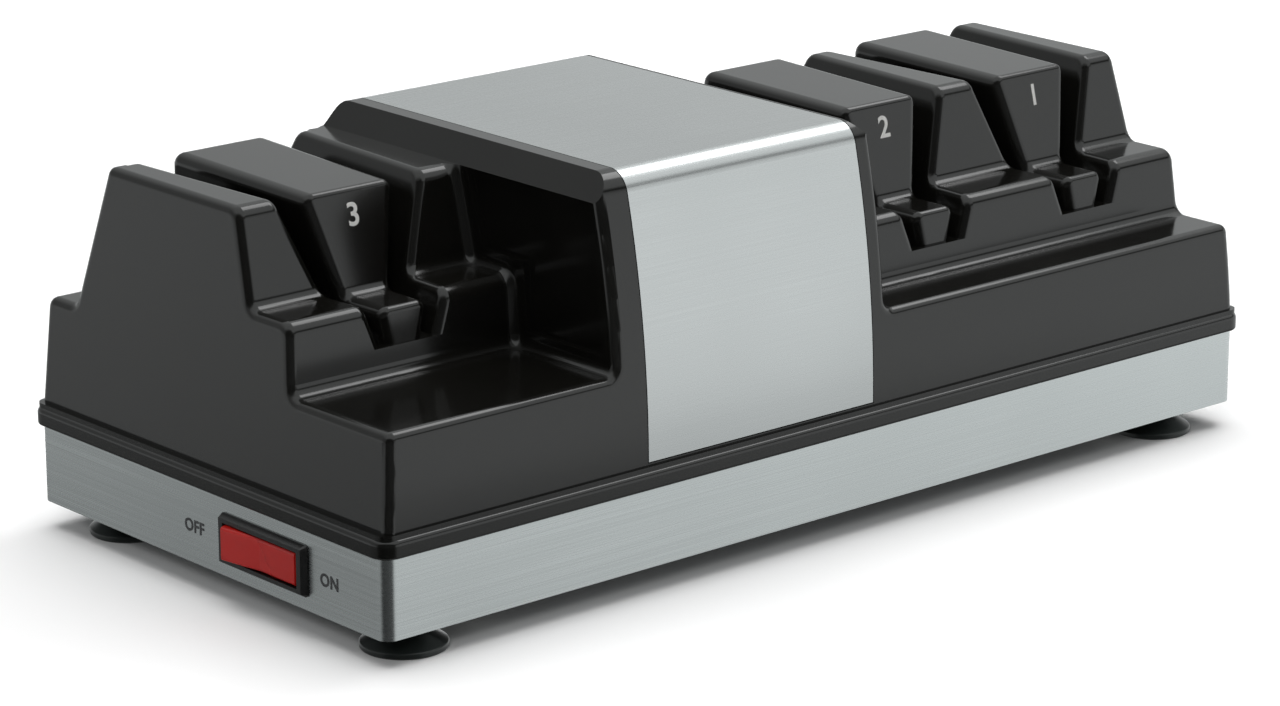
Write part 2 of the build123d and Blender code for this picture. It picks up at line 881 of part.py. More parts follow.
def end_bracket(side):
    """Cup at one end of the motor, which carries a ball bearing."""
    a = stack_length / 2
    b = a + bracket_depth
    cup = rod(a, b, bracket_radius) - rod(a - 1, b - bracket_wall, bracket_radius - bracket_wall)
    cup += rod(b - bracket_wall - bearing_seat, b, bearing_radius + bracket_wall)
    cup -= rod(b - bearing_width, b + 1, bearing_radius)
    cup -= rod(a, b, bearing_radius - 1.5)
    for turn in range(4):
        window = brick(
            a + bracket_wall, b - 2 * bracket_wall, 0, 2 * bracket_radius, -bracket_window / 2, bracket_window / 2
        )
        cup -= Rot(turn * 90, 0, 0) * window
    lugs = []
    for sy in (-1, 1):
        for sz in (-1, 1):
            spot = Pos(0, sy * motor_bolt_spread, sz * motor_bolt_spread)
            lug = rod(a, a + bracket_wall, stack_corner / 2)
            web = brick(a, a + bracket_wall, -motor_bolt_spread, 0, -4, 4)
            turn = math.degrees(math.atan2(sz, sy))
            lugs.append(spot * lug)
            lugs.append(spot * Rot(turn, 0, 0) * web)
    for lug in lugs:
        cup += lug - rod(a - 1, b, bracket_radius - bracket_wall / 2)
    for sy in (-1, 1):
        for sz in (-1, 1):
            cup -= Pos(0, sy * motor_bolt_spread, sz * motor_bolt_spread) * rod(a - 1, b, motor_bolt_radius)
    if side < 0:
        cup = cup.mirror(Plane.YZ)
    return Pos(motor_x, shaft_y, shaft_z) * cup


def ball_bearing(side):
    b = motor_x + side * (stack_length / 2 + bracket_depth)
    a = b - side * bearing_width
    return on_shaft(min(a, b), max(a, b), bearing_radius) - on_shaft(-beyond, beyond, shaft_bore)


def motor_bolts():
    """Two long bolts that draw the brackets onto the stack."""
    a = stack_length / 2 + bracket_wall
    bolts = []
    for sy, sz in ((-1, 1), (1, -1), (-1, -1), (1, 1)):
        bolt = rod(-a, a, motor_bolt_radius) + rod(a, a + 2.5, 2 * motor_bolt_radius)
        bolt += rod(-a - 2.5, -a, 2 * motor_bolt_radius)
        bolts.append(Pos(motor_x, shaft_y + sy * motor_bolt_spread, shaft_z + sz * motor_bolt_spread) * bolt)
    return Compound(children=bolts)


def brush_middle():
    return commutator_start() + commutator_length / 2


def carbon_brushes():
    brushes = []
    for side in (-1, 1):
        a = commutator_radius + brush_gap
        box = brick(-brush_depth / 2, brush_depth / 2, a - 1, a + brush_length, -brush_width / 2, brush_width / 2)
        box -= rod(-beyond, beyond, a)
        if side < 0:
            box = box.mirror(Plane.XZ)
        brushes.append(Pos(brush_middle(), shaft_y, shaft_z) * box)
    return Compound(children=brushes)


def brush_holders():
    """Brass tubes in the right bracket that guide the carbon brushes."""
    tubes = []
    t = brush_tube_wall
    outer_end = bracket_radius - bracket_wall
    for side in (-1, 1):
        a = commutator_radius + 2.5
        reach = math.sqrt(outer_end**2 - (brush_width / 2 + t) ** 2)
        half_x = brush_depth / 2 + t
        half_z = brush_width / 2 + t
        tube = brick(-half_x, half_x, a, reach, -half_z, half_z)
        tube -= brick(-brush_depth / 2, brush_depth / 2, a - 1, reach - t, -brush_width / 2, brush_width / 2)
        if side < 0:
            tube = tube.mirror(Plane.XZ)
        tubes.append(Pos(brush_middle(), shaft_y, shaft_z) * tube)
    return Compound(children=tubes)


def motor_cradle():
    """Saddle that carries the field stack on the base plate."""
    half = stack_length / 2
    low = shaft_z - stack_width / 2
    y = shaft_y
    body = brick(motor_x - half, motor_x + half, y - cradle_width / 2, y + cradle_width / 2, plate_top, low)
    side = (stack_width / 2, stack_width / 2 + bracket_wall)
    for s in (-1, 1):
        y0, y1 = sorted((y + s * side[0], y + s * side[1]))
        body += brick(motor_x - half, motor_x + half, y0, y1, plate_top, shaft_z - stack_width / 4)
    body += brick(
        motor_x - half, motor_x + half, y - side[1], y + side[1], plate_top, plate_top + bracket_wall
    )
    for x, cy in cradle_bolt_places():
        body -= Pos(x, cy, plate_top) * Cylinder(cradle_bolt_radius, 4 * bracket_wall)
    return body


def cradle_bolt_places():
    spread_x = stack_length / 4
    spread_y = stack_width / 2 - cradle_bolt_inset
    return [(motor_x + s * spread_x, shaft_y + t * spread_y) for s in (-1, 1) for t in (-1, 1)]


def cradle_bolts():
    bolts = []
    for x, y in cradle_bolt_places():
        z1 = plate_top + bracket_wall
        bolt = Pos(x, y, (plate_bottom + z1) / 2) * Cylinder(cradle_bolt_radius, z1 - plate_bottom)
        bolt += Pos(x, y, z1 + 1) * Cylinder(1.9 * cradle_bolt_radius, 2)
        bolts.append(bolt)
    return Compound(children=bolts)


def outboard_bearing(side):
    """Post on the base plate that steadies the outer end of the shaft."""
    a = outboard_face()
    b = a + outboard_thickness
    post = brick(a, b, -outboard_width / 2, outboard_width / 2, plate_top, shaft_z)
    post += rod(a, b, outboard_width / 2, 0, shaft_z)
    foot_top = plate_top + outboard_foot_height
    post += brick(a - outboard_foot, b, -outboard_width / 2, outboard_width / 2, plate_top, foot_top)
    post -= rod(a - 1, b + 1, bush_radius, 0, shaft_z)
    if side < 0:
        post = post.mirror(Plane.YZ)
    return Pos(0, shaft_y, 0) * post


def outboard_bush(side):
    a = side * outboard_face()
    b = side * (outboard_face() + outboard_thickness)
    return on_shaft(min(a, b), max(a, b), bush_radius) - on_shaft(-beyond, beyond, shaft_bore)


# ----------------------------------------------------------------------- base


def steel_base_band():
    """Folded steel band with a flange turned in at the bottom."""
    ring = rounded_slab(band_length, band_depth, band_corner, band_bottom, band_top)
    inner_length = band_length - 2 * band_sheet
    inner_depth = band_depth - 2 * band_sheet
    inner_corner = band_corner - band_sheet
    ring -= rounded_slab(inner_length, inner_depth, inner_corner, plate_bottom, beyond)
    flange_corner = 1.5
    ring -= rounded_slab(band_length - 2 * band_flange, band_depth - 2 * band_flange, flange_corner, 0, beyond)
    ring -= switch_cutout(-half_length - wall, -half_length + 3 * wall)
    ring -= rod(half_length - 3 * wall, half_length + wall, gland_radius, gland_y, switch_z())
    return ring


def foot_places():
    left = -half_length + foot_inset_left
    right = half_length - foot_inset_right
    near = front + foot_inset_front
    far = rear - foot_inset_rear
    return {
        "front_left": (left, near),
        "front_right": (right, near),
        "rear_left": (left, far),
        "rear_right": (right, far),
    }


def base_plate():
    """Flat floor of the machine, with rows of vents under the motor."""
    length = band_length - 2 * (band_sheet + plate_gap)
    depth = band_depth - 2 * (band_sheet + plate_gap)
    plate = rounded_slab(length, depth, band_corner - band_sheet - plate_gap, plate_bottom, plate_top)
    for i in range(vent_count):
        x = motor_x + (i - (vent_count - 1) / 2) * vent_pitch
        y = front + band_flange + plate_thickness + vent_length / 2 + 4
        slot = extrude(SlotOverall(vent_length, vent_width), amount=4 * plate_thickness)
        plate -= Pos(x, y, plate_bottom - plate_thickness) * Rot(0, 0, 90) * slot
    for x, y in foot_places().values():
        plate -= Pos(x, y, plate_top) * Cylinder(stud_radius, 4 * plate_thickness)
    for x, y in boss_places():
        plate -= Pos(x, y, plate_top) * Cylinder(screw_radius, 4 * plate_thickness)
    for x, y in cradle_bolt_places():
        plate -= Pos(x, y, plate_top) * Cylinder(cradle_bolt_radius, 4 * plate_thickness)
    return plate


def rubber_foot(x, y):
    """Suction foot with a hollow underside and a neck up to the base plate."""
    profile = side_profile(
        [
            (0, foot_hollow_depth),
            (foot_hollow, 0),
            (foot_radius, 0),
            (foot_radius, foot_rim),
            (foot_neck, foot_dome),
            (foot_neck, plate_bottom),
            (0, plate_bottom),
        ],
        [0, foot_round, foot_round, foot_round, foot_round, 0, 0],
    )
    body = revolve(Plane.XZ * profile, Axis.Z)
    hole = Pos(0, 0, plate_bottom - stud_foot_depth / 2) * Cylinder(stud_radius, stud_foot_depth)
    return Pos(x, y, 0) * (body - hole)


def foot_studs():
    low = plate_bottom - stud_foot_depth
    high = plate_top + nut_height + stud_tail
    stud = Pos(0, 0, (low + high) / 2) * Cylinder(stud_radius, high - low)
    return Compound(children=[Pos(x, y, 0) * stud for x, y in foot_places().values()])


def foot_nuts():
    ring = RegularPolygon(nut_across / 2, 6, major_radius=False) - Circle(stud_radius)
    nut = Pos(0, 0, plate_top) * extrude(ring, amount=nut_height)
    return Compound(children=[Pos(x, y, 0) * nut for x, y in foot_places().values()])


def housing_screws():
    """Screws from under the base plate up into the casing."""
    shank = Pos(0, 0, plate_bottom + screw_reach / 2) * Cylinder(screw_radius, screw_reach)
    head = Pos(0, 0, plate_bottom - screw_head_height / 2) * Cylinder(screw_head_radius, screw_head_height)
    rims = head.edges().sort_by(Axis.Z)[0]
    screw = shank + fillet(rims, 0.8)
    return Compound(children=[Pos(x, y, 0) * screw for x, y in boss_places()])


# --------------------------------------------------------------------- switch


def switch_z():
    """Height of the middle of the switch and of the cord hole."""
    return band_bottom + band_height / 2 - switch_drop


def switch_cutout(x0, x1):
    z = switch_z()
    half = switch_body_height / 2
    return brick(x0, x1, switch_y - switch_body_width / 2, switch_y + switch_body_width / 2, z - half, z + half)


def switch_body():
    """Snap-in body with a bevelled rim outside the band and an open front."""
    outer = RectangleRounded(switch_width, switch_height, 1.2)
    rim = extrude(outer, amount=switch_rim)
    top = rim.edges().group_by(Axis.Z)[-1]
    rim = chamfer(top, switch_bevel * 0.99, switch_bevel * 0.6)
    place = Pos(-half_length, switch_y, switch_z()) * Rot(0, -90, 0) * Rot(0, 0, 90)
    body = place * rim
    body += switch_cutout(-half_length, -half_length + switch_body_depth)
    half_y = rocker_radius + rocker_play
    half_z = switch_body_height / 2 - switch_wall
    z = switch_z()
    body -= brick(
        -half_length - 2 * switch_rim,
        -half_length + switch_body_depth - 2 * switch_wall,
        switch_y - half_y,
        switch_y + half_y,
        z - half_z,
        z + half_z,
    )
    body -= pivot_bar(rocker_pin_radius, switch_body_height - switch_wall)
    return body


def pivot_x():
    return -half_length + rocker_pivot_depth


def pivot_bar(radius, length):
    return Pos(pivot_x(), switch_y, switch_z()) * Cylinder(radius, length)


def rocker():
    """Rocker with two flat faces that meet over the pivot; the front half is pressed."""
    height = switch_body_height - 2 * switch_wall - 2 * rocker_play
    crest = rocker_pivot_depth + rocker_face_height
    swing = math.tan(math.radians(rocker_swing))
    far = 2 * rocker_radius
    outline = make_face(
        Polyline(
            (rocker_back, -far),
            (-crest, -far),
            (-crest, 0),
            (-crest - far * swing, far),
            (rocker_back, far),
            close=True,
        )
    )
    outline &= Circle(rocker_radius)
    body = Pos(0, 0, -height / 2) * extrude(outline, amount=height)
    outer = [e for e in body.edges() if e.center().X < -crest + 0.01 and abs(e.center().Z) > height / 2 - 0.01]
    body = fillet(outer, rocker_edge)
    body = Pos(pivot_x(), switch_y, switch_z()) * body
    return body - pivot_bar(rocker_pin_radius + rocker_pin_play, 2 * switch_height)


def rocker_pin():
    return pivot_bar(rocker_pin_radius, switch_body_height - switch_wall)


def switch_terminals():
    """Three flat blades on the back of the switch."""
    x0 = -half_length + switch_body_depth
    blades = []
    for i in (-1, 0, 1):
        y = switch_y + i * terminal_pitch
        z = switch_z()
        half = terminal_width / 2
        blades.append(brick(x0, x0 + terminal_length, y, y + terminal_thickness, z - half, z + half))
    return Compound(children=blades)


def end_reach():
    """How far the raised end of the rocker stands out from the band."""
    rise = rocker().bounding_box().min.X
    return -half_length - rise


def cord_gland():
    """Bushing that lines the cord hole; it stands out as far as the rocker does at the other end."""
    x = half_length
    reach = end_reach()
    body = rod(x, x + 2, gland_flange) + rod(x + 2, x + reach, gland_radius)
    body += rod(x - gland_depth, x, gland_radius)
    body += rod(x - gland_depth, x - band_sheet - gland_snap, gland_radius + gland_snap)
    rims = [e for e in body.edges().filter_by(GeomType.CIRCLE) if abs(e.center().X - x - reach) < 1e-3]
    body = fillet(rims, 0.8)
    body -= rod(x - 2 * gland_depth, x + 2 * reach, gland_bore)
    return Pos(0, gland_y, switch_z()) * body


# ------------------------------------------------------------- write the parts


def build_parts():
    parts = {
        "upper_housing": upper_housing(),
        "steel_cover": steel_cover(),
        "steel_base_band": steel_base_band(),
        "base_plate": base_plate(),
        "foot_studs": foot_studs(),
        "foot_nuts": foot_nuts(),
        "housing_screws": housing_screws(),
        "guide_magnets": guide_magnets(),
        "motor_shaft": motor_shaft(),
        "disc_drive_pins": drive_pins(),
        "motor_field_stack": field_stack(),
        "motor_field_coils": field_coils(),
        "armature_stack": armature_stack(),
        "armature_winding": armature_winding(),
        "commutator": commutator(),
        "cooling_fan": cooling_fan(),
        "motor_bolts": motor_bolts(),
        "carbon_brushes": carbon_brushes(),
        "brush_holders": brush_holders(),
        "motor_cradle": motor_cradle(),
        "cradle_bolts": cradle_bolts(),
        "switch_body": switch_body(),
        "rocker": rocker(),
        "rocker_pin": rocker_pin(),
        "switch_terminals": switch_terminals(),
        "cord_gland": cord_gland(),
    }
    for name, side in (("left", -1), ("right", 1)):
        parts[f"{name}_end_bracket"] = end_bracket(side)
        parts[f"{name}_ball_bearing"] = ball_bearing(side)
        parts[f"{name}_bearing_post"] = outboard_bearing(side)
        parts[f"{name}_shaft_bush"] = outboard_bush(side)
        for stage, x in stages.items():
            parts[f"{stage}_disc_{name}"] = disc(x, side)
    for stage, x in stages.items():
        parts[f"{stage}_guide_insert"] = guide_insert(x, setbacks[stage])
        parts[f"{stage}_disc_spring"] = disc_spring(x)
    for name, (x, y) in foot_places().items():
        parts[f"foot_{name}"] = rubber_foot(x, y)
    return parts


os.makedirs("parts", exist_ok=True)
for part_name, part in build_parts().items():
    export_step(part, f"parts/{part_name}.step")
    print(part_name, len(part.solids()), round(part.volume))
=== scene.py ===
# %% [markdown]
# # A three stage electric knife sharpener
# The machine is a glossy moulded housing on a folded steel band, with a brushed steel cover over its
# motor. Its solid parts come in ready made, at their real size and in their real places. This lesson
# gives each of them a finish, cuts the disc springs in half, prints the few marks that the machine
# carries, and sets up a plain studio.
#
# Each part arrives in a flat colour that has the name of its finish. Two materials can't share a name, and
# Blender would call the second one housing_black.001, so the flat ones are renamed before any is made.

# %% Load the parts
import math
import json
import bmesh
import bpy
from mathutils import Matrix, Vector


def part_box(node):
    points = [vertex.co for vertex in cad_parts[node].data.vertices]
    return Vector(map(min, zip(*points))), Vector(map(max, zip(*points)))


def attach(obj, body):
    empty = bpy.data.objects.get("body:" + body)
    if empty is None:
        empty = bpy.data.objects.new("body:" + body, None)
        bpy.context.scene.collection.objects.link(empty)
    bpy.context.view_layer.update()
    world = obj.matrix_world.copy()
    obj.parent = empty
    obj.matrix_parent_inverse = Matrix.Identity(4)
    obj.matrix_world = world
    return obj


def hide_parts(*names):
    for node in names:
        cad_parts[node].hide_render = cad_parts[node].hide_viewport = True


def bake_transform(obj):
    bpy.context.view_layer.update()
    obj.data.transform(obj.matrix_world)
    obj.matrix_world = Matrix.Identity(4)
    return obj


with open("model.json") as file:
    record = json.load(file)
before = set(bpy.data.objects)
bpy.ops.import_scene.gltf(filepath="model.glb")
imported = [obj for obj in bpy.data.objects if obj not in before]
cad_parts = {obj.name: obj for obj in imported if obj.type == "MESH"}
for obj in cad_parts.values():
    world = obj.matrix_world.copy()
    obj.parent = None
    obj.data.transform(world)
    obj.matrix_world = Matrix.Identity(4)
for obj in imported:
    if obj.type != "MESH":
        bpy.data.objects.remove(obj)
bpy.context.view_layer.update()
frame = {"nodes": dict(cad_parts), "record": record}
nodes = frame["nodes"]
for plain in bpy.data.materials:
    plain.name = "plain_" + plain.name

# %% [markdown]
# ## Helpers for building materials
# A material is a small graph of nodes. It could be drawn by hand in the shader editor, but a script can be
# read, changed and run again. Writing each link out takes many lines, so a few helpers add a node with its
# settings and join it to what feeds it.

# %% Nodes and links
MM = 0.001


def add_node(tree, kind, **settings):
    """A new node with its settings, such as its operation or its data type."""
    node = tree.nodes.new(kind)
    for name, value in settings.items():
        setattr(node, name, value)
    return node


def join(tree, item, socket):
    """Links an output socket to an input socket, or stores a plain value in it."""
    if isinstance(item, bpy.types.NodeSocket):
        tree.links.new(item, socket)
    else:
        socket.default_value = item


def feed(tree, node, **inputs):
    """Joins values or sockets to a node's inputs by name, with _ for a space."""
    for name, item in inputs.items():
        join(tree, item, node.inputs[name.replace("_", " ")])
    return node


print("helpers:", [helper.__name__ for helper in (add_node, join, feed)])

# %% [markdown]
# ### Sums, mixes and ranges
# Most effects need only three kinds of node: Math for one sum, Mix for two colours, and Map Range, which
# takes a value from one range to another. Each helper adds its node and gives back the socket that holds
# the result, so that one call can stand inside another, as in any sum.

# %% Sums, mixes and ranges


def math_node(tree, operation, first, second=0.0, clamp=False):
    """The result of one sum on two values or sockets."""
    node = add_node(tree, "ShaderNodeMath", operation=operation, use_clamp=clamp)
    join(tree, first, node.inputs[0])
    join(tree, second, node.inputs[1])
    return node.outputs[0]


def mix_colour(tree, factor, first, second):
    """Two colours mixed by a factor; factor and colours are values or sockets."""
    node = add_node(tree, "ShaderNodeMix", data_type="RGBA")
    join(tree, factor, node.inputs[0])
    join(tree, first, node.inputs[6])
    join(tree, second, node.inputs[7])
    return node.outputs[2]


def ranged(tree, value, low, high, out_low=0.0, out_high=1.0):
    """A value taken from one range to another, and held inside it."""
    node = add_node(tree, "ShaderNodeMapRange", clamp=True)
    for socket, item in zip(node.inputs[:5], (value, low, high, out_low, out_high)):
        join(tree, item, socket)
    return node.outputs[0]


print("helpers:", [helper.__name__ for helper in (math_node, mix_colour, ranged)])

# %% [markdown]
# ### Places, directions and shades
# A texture has to know where a point lies. Each solid part sits at the origin with its place in its
# vertices, so its Object coordinates are real places on the machine, in metres. Maps laid over the surface
# would do as well, but every part would have to be unwrapped first.
#
# Real surfaces are uneven, so nearly every finish here has two shades and two roughnesses with a mask
# between them. Two small helpers give those.

# %% Places, directions and shades


def object_place(tree):
    """Where a point lies in its object's own space, in metres."""
    return add_node(tree, "ShaderNodeTexCoord").outputs["Object"]


def facing(tree, output="Normal"):
    """The surface's normal as three numbers."""
    parts = add_node(tree, "ShaderNodeSeparateXYZ")
    tree.links.new(add_node(tree, "ShaderNodeNewGeometry").outputs[output], parts.inputs[0])
    return parts.outputs


def colour(red, green, blue):
    """A solid colour, as linear light from 0 to 1."""
    return (red, green, blue, 1.0)


def shade(base, factor):
    """A base colour made lighter or darker by a factor, and never past white."""
    return colour(*(min(1.0, part * factor) for part in base))


def two_shades(tree, mask, base, factor):
    """The base colour where the mask is 0, and a lighter or darker one where it is 1."""
    return mix_colour(tree, mask, colour(*base), shade(base, factor))


def two_roughnesses(tree, mask, rough, factor):
    """A roughness where the mask is 0, and that roughness times a factor where it is 1."""
    return ranged(tree, mask, 0, 1, rough, rough * factor)


print("a shade of mid grey:", shade((0.5, 0.5, 0.5), 0.8))

# %% [markdown]
# ## Effects that several finishes share
# A brushed sheet, a moulded skin, settled dust and a worn edge turn up on many parts. Each is a node
# group with named inputs, built once, so that one change reaches every material that uses it. A group
# could also hold the whole shader, but the exporter could not read that, so a group here puts out only
# masks and heights.

# %% Group maker


def new_group(name, inputs, outputs):
    """An empty shader group with named value inputs and outputs."""
    group = bpy.data.node_groups.new(name, "ShaderNodeTree")
    for title, default in inputs.items():
        socket = group.interface.new_socket(title, in_out="INPUT", socket_type="NodeSocketFloat")
        socket.default_value = default
    for title in outputs:
        group.interface.new_socket(title, in_out="OUTPUT", socket_type="NodeSocketFloat")
    start = group.nodes.new("NodeGroupInput")
    end = group.nodes.new("NodeGroupOutput")
    return group, start.outputs, end.inputs


def place(tree, group, **inputs):
    """One use of a group in a material."""
    node = tree.nodes.new("ShaderNodeGroup")
    node.node_tree = group
    feed(tree, node, **inputs)
    return node.outputs


def noise(tree, where, detail, scale=1.0):
    """A noise node fed with a place; its scale is a value or a socket, and counts waves to a unit."""
    return feed(tree, add_node(tree, "ShaderNodeTexNoise"), Vector=where, Scale=scale, Detail=detail)


print("helpers:", [helper.__name__ for helper in (new_group, place, noise)])

# %% [markdown]
# ### Brushed grain
# Brushed sheet is drawn past a belt in one direction, which leaves fine parallel scratches. A noise that
# is stretched along one axis looks the same, and unlike a picture of scratches it needs no map. The
# scratches run along the length of the machine, and along the width on its end faces, so the group holds
# both and picks one by which way the face looks.

# %% Brushed grain group
STREAK_DETAIL = 3.0
STREAK_ROUGHNESS = 0.6
CLOUD_DETAIL = 2.0
CLOUD_SCALE = 16.0
END_FACE_NORMAL = 0.7


def stretched_noise(tree, fine, long, along_x):
    """Noise drawn out along one axis, with fine waves a metre across it and long waves a metre along it."""
    scale = add_node(tree, "ShaderNodeCombineXYZ")
    order = (long, fine, fine) if along_x else (fine, long, fine)
    for socket, value in zip(scale.inputs, order):
        tree.links.new(value, socket)
    stretch = add_node(tree, "ShaderNodeVectorMath", operation="MULTIPLY")
    tree.links.new(object_place(tree), stretch.inputs[0])
    tree.links.new(scale.outputs[0], stretch.inputs[1])
    streaks = noise(tree, stretch.outputs[0], STREAK_DETAIL)
    return feed(tree, streaks, Roughness=STREAK_ROUGHNESS).outputs[0]


def brushed_grain():
    """Fine scratches that follow the sheet, and broad clouds: partly such as a belt leaves, partly a painted
    reflection.
    """
    group, given, result = new_group("brushed grain", {"Lines": 2600.0, "Run": 9.0}, ["Streak", "Cloud"])
    sideways = math_node(group, "ABSOLUTE", facing(group, "True Normal")[0])
    end_face = math_node(group, "GREATER_THAN", sideways, END_FACE_NORMAL)
    streak_x = stretched_noise(group, given["Lines"], given["Run"], True)
    streak_y = stretched_noise(group, given["Lines"], given["Run"], False)
    across = math_node(group, "MULTIPLY", end_face, streak_y)
    along = math_node(group, "MULTIPLY", math_node(group, "SUBTRACT", 1.0, end_face), streak_x)
    group.links.new(math_node(group, "ADD", across, along), result["Streak"])
    cloud = noise(group, object_place(group), CLOUD_DETAIL, CLOUD_SCALE)
    group.links.new(cloud.outputs[0], result["Cloud"])
    return group


brushed = brushed_grain()
print("group:", brushed.name, [s.name for s in brushed.interface.items_tree])

# %% [markdown]
# ### Moulded skin
# A polished mould still leaves a faint unevenness in a glossy plastic face, which makes its reflections
# waver. The mesh itself could be made uneven, but that would take a very fine one. Two sizes of noise, both
# very shallow, give the same. Deeper ones would look like leather.

# %% Moulded skin group
WAVE_DETAIL = 1.0
PEBBLE_DETAIL = 2.0
PEBBLE_SHARE = 0.03
PATCH_DETAIL = 4.0
PATCH_SCALE = 18.0
PATCH_RANGE = (0.35, 0.7)


def moulded_skin():
    """A shallow wave and a finer pebble as one height, and broad patches for shade and gloss."""
    group, given, result = new_group("moulded skin", {"Wave": 45.0, "Pebble": 900.0}, ["Height", "Patch"])
    where = object_place(group)
    wave = noise(group, where, WAVE_DETAIL, given["Wave"])
    pebble = noise(group, where, PEBBLE_DETAIL, given["Pebble"])
    small = math_node(group, "MULTIPLY", pebble.outputs[0], PEBBLE_SHARE)
    group.links.new(math_node(group, "ADD", wave.outputs[0], small), result["Height"])
    patch = noise(group, where, PATCH_DETAIL, PATCH_SCALE)
    group.links.new(ranged(group, patch.outputs[0], *PATCH_RANGE), result["Patch"])
    return group


skin = moulded_skin()
print("group:", skin.name, [s.name for s in skin.interface.items_tree])

# %% [markdown]
# ### Settled dust
# Dust lies on faces that look up, in specks and thin drifts. Specks could be scattered as objects, but a
# mask costs no geometry and every finish can share it. This one is a fine noise for the specks times a
# broad one for the drifts, and it only passes where the face's normal points upwards.

# %% Settled dust group
UPWARD_RANGE = (0.3, 1.0)
SPECK_DETAIL = 3.0
SPECK_RANGE = (0.62, 0.75)
DRIFT_DETAIL = 3.0
DRIFT_SCALE = 30.0
DRIFT_RANGE = (0.4, 0.8)


def settled_dust():
    """Where specks of dust lie: on upward faces, in drifts."""
    group, given, result = new_group("settled dust", {"Amount": 0.3, "Speck": 2200.0}, ["Mask"])
    upward = ranged(group, facing(group)[2], *UPWARD_RANGE)
    where = object_place(group)
    speck = noise(group, where, SPECK_DETAIL, given["Speck"])
    grains = ranged(group, speck.outputs[0], *SPECK_RANGE)
    drift = noise(group, where, DRIFT_DETAIL, DRIFT_SCALE)
    patches = ranged(group, drift.outputs[0], *DRIFT_RANGE)
    lying = math_node(group, "MULTIPLY", math_node(group, "MULTIPLY", grains, patches), upward)
    group.links.new(math_node(group, "MULTIPLY", lying, given["Amount"]), result["Mask"])
    return group


dust = settled_dust()
print("group:", dust.name, [s.name for s in dust.interface.items_tree])

# %% [markdown]
# ### Worn edges
# Handling polishes the edges of metal and plastic. The Bevel node rounds the normal near an edge, and
# how far it turns it tells where the edges are. Painting wear by hand would need a map for every part.

# %% Worn edge group
BEVEL_SAMPLES = 4
EDGE_TURN_RANGE = (0.98, 0.80)
BREAK_DETAIL = 4.0
BREAK_SCALE = 260.0
BREAK_RANGE = (0.35, 0.65)


def worn_edge():
    """Where an edge is rubbed, in ragged lengths."""
    group, given, result = new_group("worn edge", {"Width": 0.0006, "Strength": 1.0}, ["Mask"])
    rounded = add_node(group, "ShaderNodeBevel", samples=BEVEL_SAMPLES)
    group.links.new(given["Width"], rounded.inputs["Radius"])
    normal = add_node(group, "ShaderNodeNewGeometry").outputs["Normal"]
    turn = add_node(group, "ShaderNodeVectorMath", operation="DOT_PRODUCT")
    group.links.new(rounded.outputs[0], turn.inputs[0])
    group.links.new(normal, turn.inputs[1])
    turned = ranged(group, turn.outputs["Value"], *EDGE_TURN_RANGE)
    breaks = noise(group, object_place(group), BREAK_DETAIL, BREAK_SCALE)
    ragged = math_node(group, "MULTIPLY", turned, ranged(group, breaks.outputs[0], *BREAK_RANGE))
    group.links.new(math_node(group, "MULTIPLY", ragged, given["Strength"], clamp=True), result["Mask"])
    return group


edges = worn_edge()
print("group:", edges.name, [s.name for s in edges.interface.items_tree])

# %% [markdown]
# ## Finishes of the outside
# Every material starts from one Principled shader. Numbers that are the same all over are set on the
# shader itself, and nodes feed only what varies: colour, roughness and the bump that turns light. The
# maker keeps each material under the name of its finish, so that the parts can be dressed from there.

# %% Material maker
finishes = {}


def new_material(name, **constants):
    """A material with one Principled shader; constants are set on the shader's own sockets."""
    material = bpy.data.materials.new(name)
    finishes[name] = material
    material.use_nodes = True
    tree = material.node_tree
    shader = tree.nodes["Principled BSDF"]
    feed(tree, shader, **constants)
    return material, tree, shader


def bump(tree, shader, height, distance):
    """Turns a height into the shader's normal; distance is the full depth in metres."""
    node = feed(tree, add_node(tree, "ShaderNodeBump"), Height=height, Distance=distance, Strength=1.0)
    tree.links.new(node.outputs[0], shader.inputs["Normal"])


print("helpers:", [helper.__name__ for helper in (new_material, bump)])

# %% [markdown]
# ### Glossy black mouldings
# Housing and guides are moulded in black plastic with a glossy face, so nearly all that the eye sees on
# them is reflection. Their own colour stays very dark, and the skin group bends the reflections a little.
# A perfect mirror would be simpler, but it would draw a hard line along every rounded edge.

# %% Housing and guides
RUBBED_BLACK = colour(0.020, 0.020, 0.019)
PALE_DUST = colour(0.33, 0.32, 0.30)
DUST_ROUGHNESS = 0.4


def glossy_moulding(name, base, rough, wave_depth, dusty):
    """Glossy dark plastic: base colour, roughness, depth of its waves and amount of dust."""
    material, tree, shader = new_material(name, IOR=1.55)
    surface = place(tree, skin, Wave=38.0, Pebble=850.0)
    dirt = place(tree, dust, Amount=dusty, Speck=1900.0)
    rub = place(tree, edges, Width=0.5 * MM, Strength=0.35)
    tone = two_shades(tree, surface["Patch"], base, 1.5)
    tone = mix_colour(tree, rub["Mask"], tone, RUBBED_BLACK)
    tone = mix_colour(tree, dirt["Mask"], tone, PALE_DUST)
    gloss = two_roughnesses(tree, surface["Patch"], rough, 1.35)
    gloss = math_node(tree, "ADD", gloss, math_node(tree, "MULTIPLY", dirt["Mask"], DUST_ROUGHNESS))
    feed(tree, shader, Base_Color=tone, Roughness=gloss)
    bump(tree, shader, surface["Height"], wave_depth)
    return material


housing_black = glossy_moulding("housing_black", (0.0033, 0.0032, 0.0027), 0.13, 0.03 * MM, 0.06)
guide_black = glossy_moulding("guide_black", (0.0040, 0.0038, 0.0033), 0.13, 0.03 * MM, 0.06)
print(housing_black.name, guide_black.name)
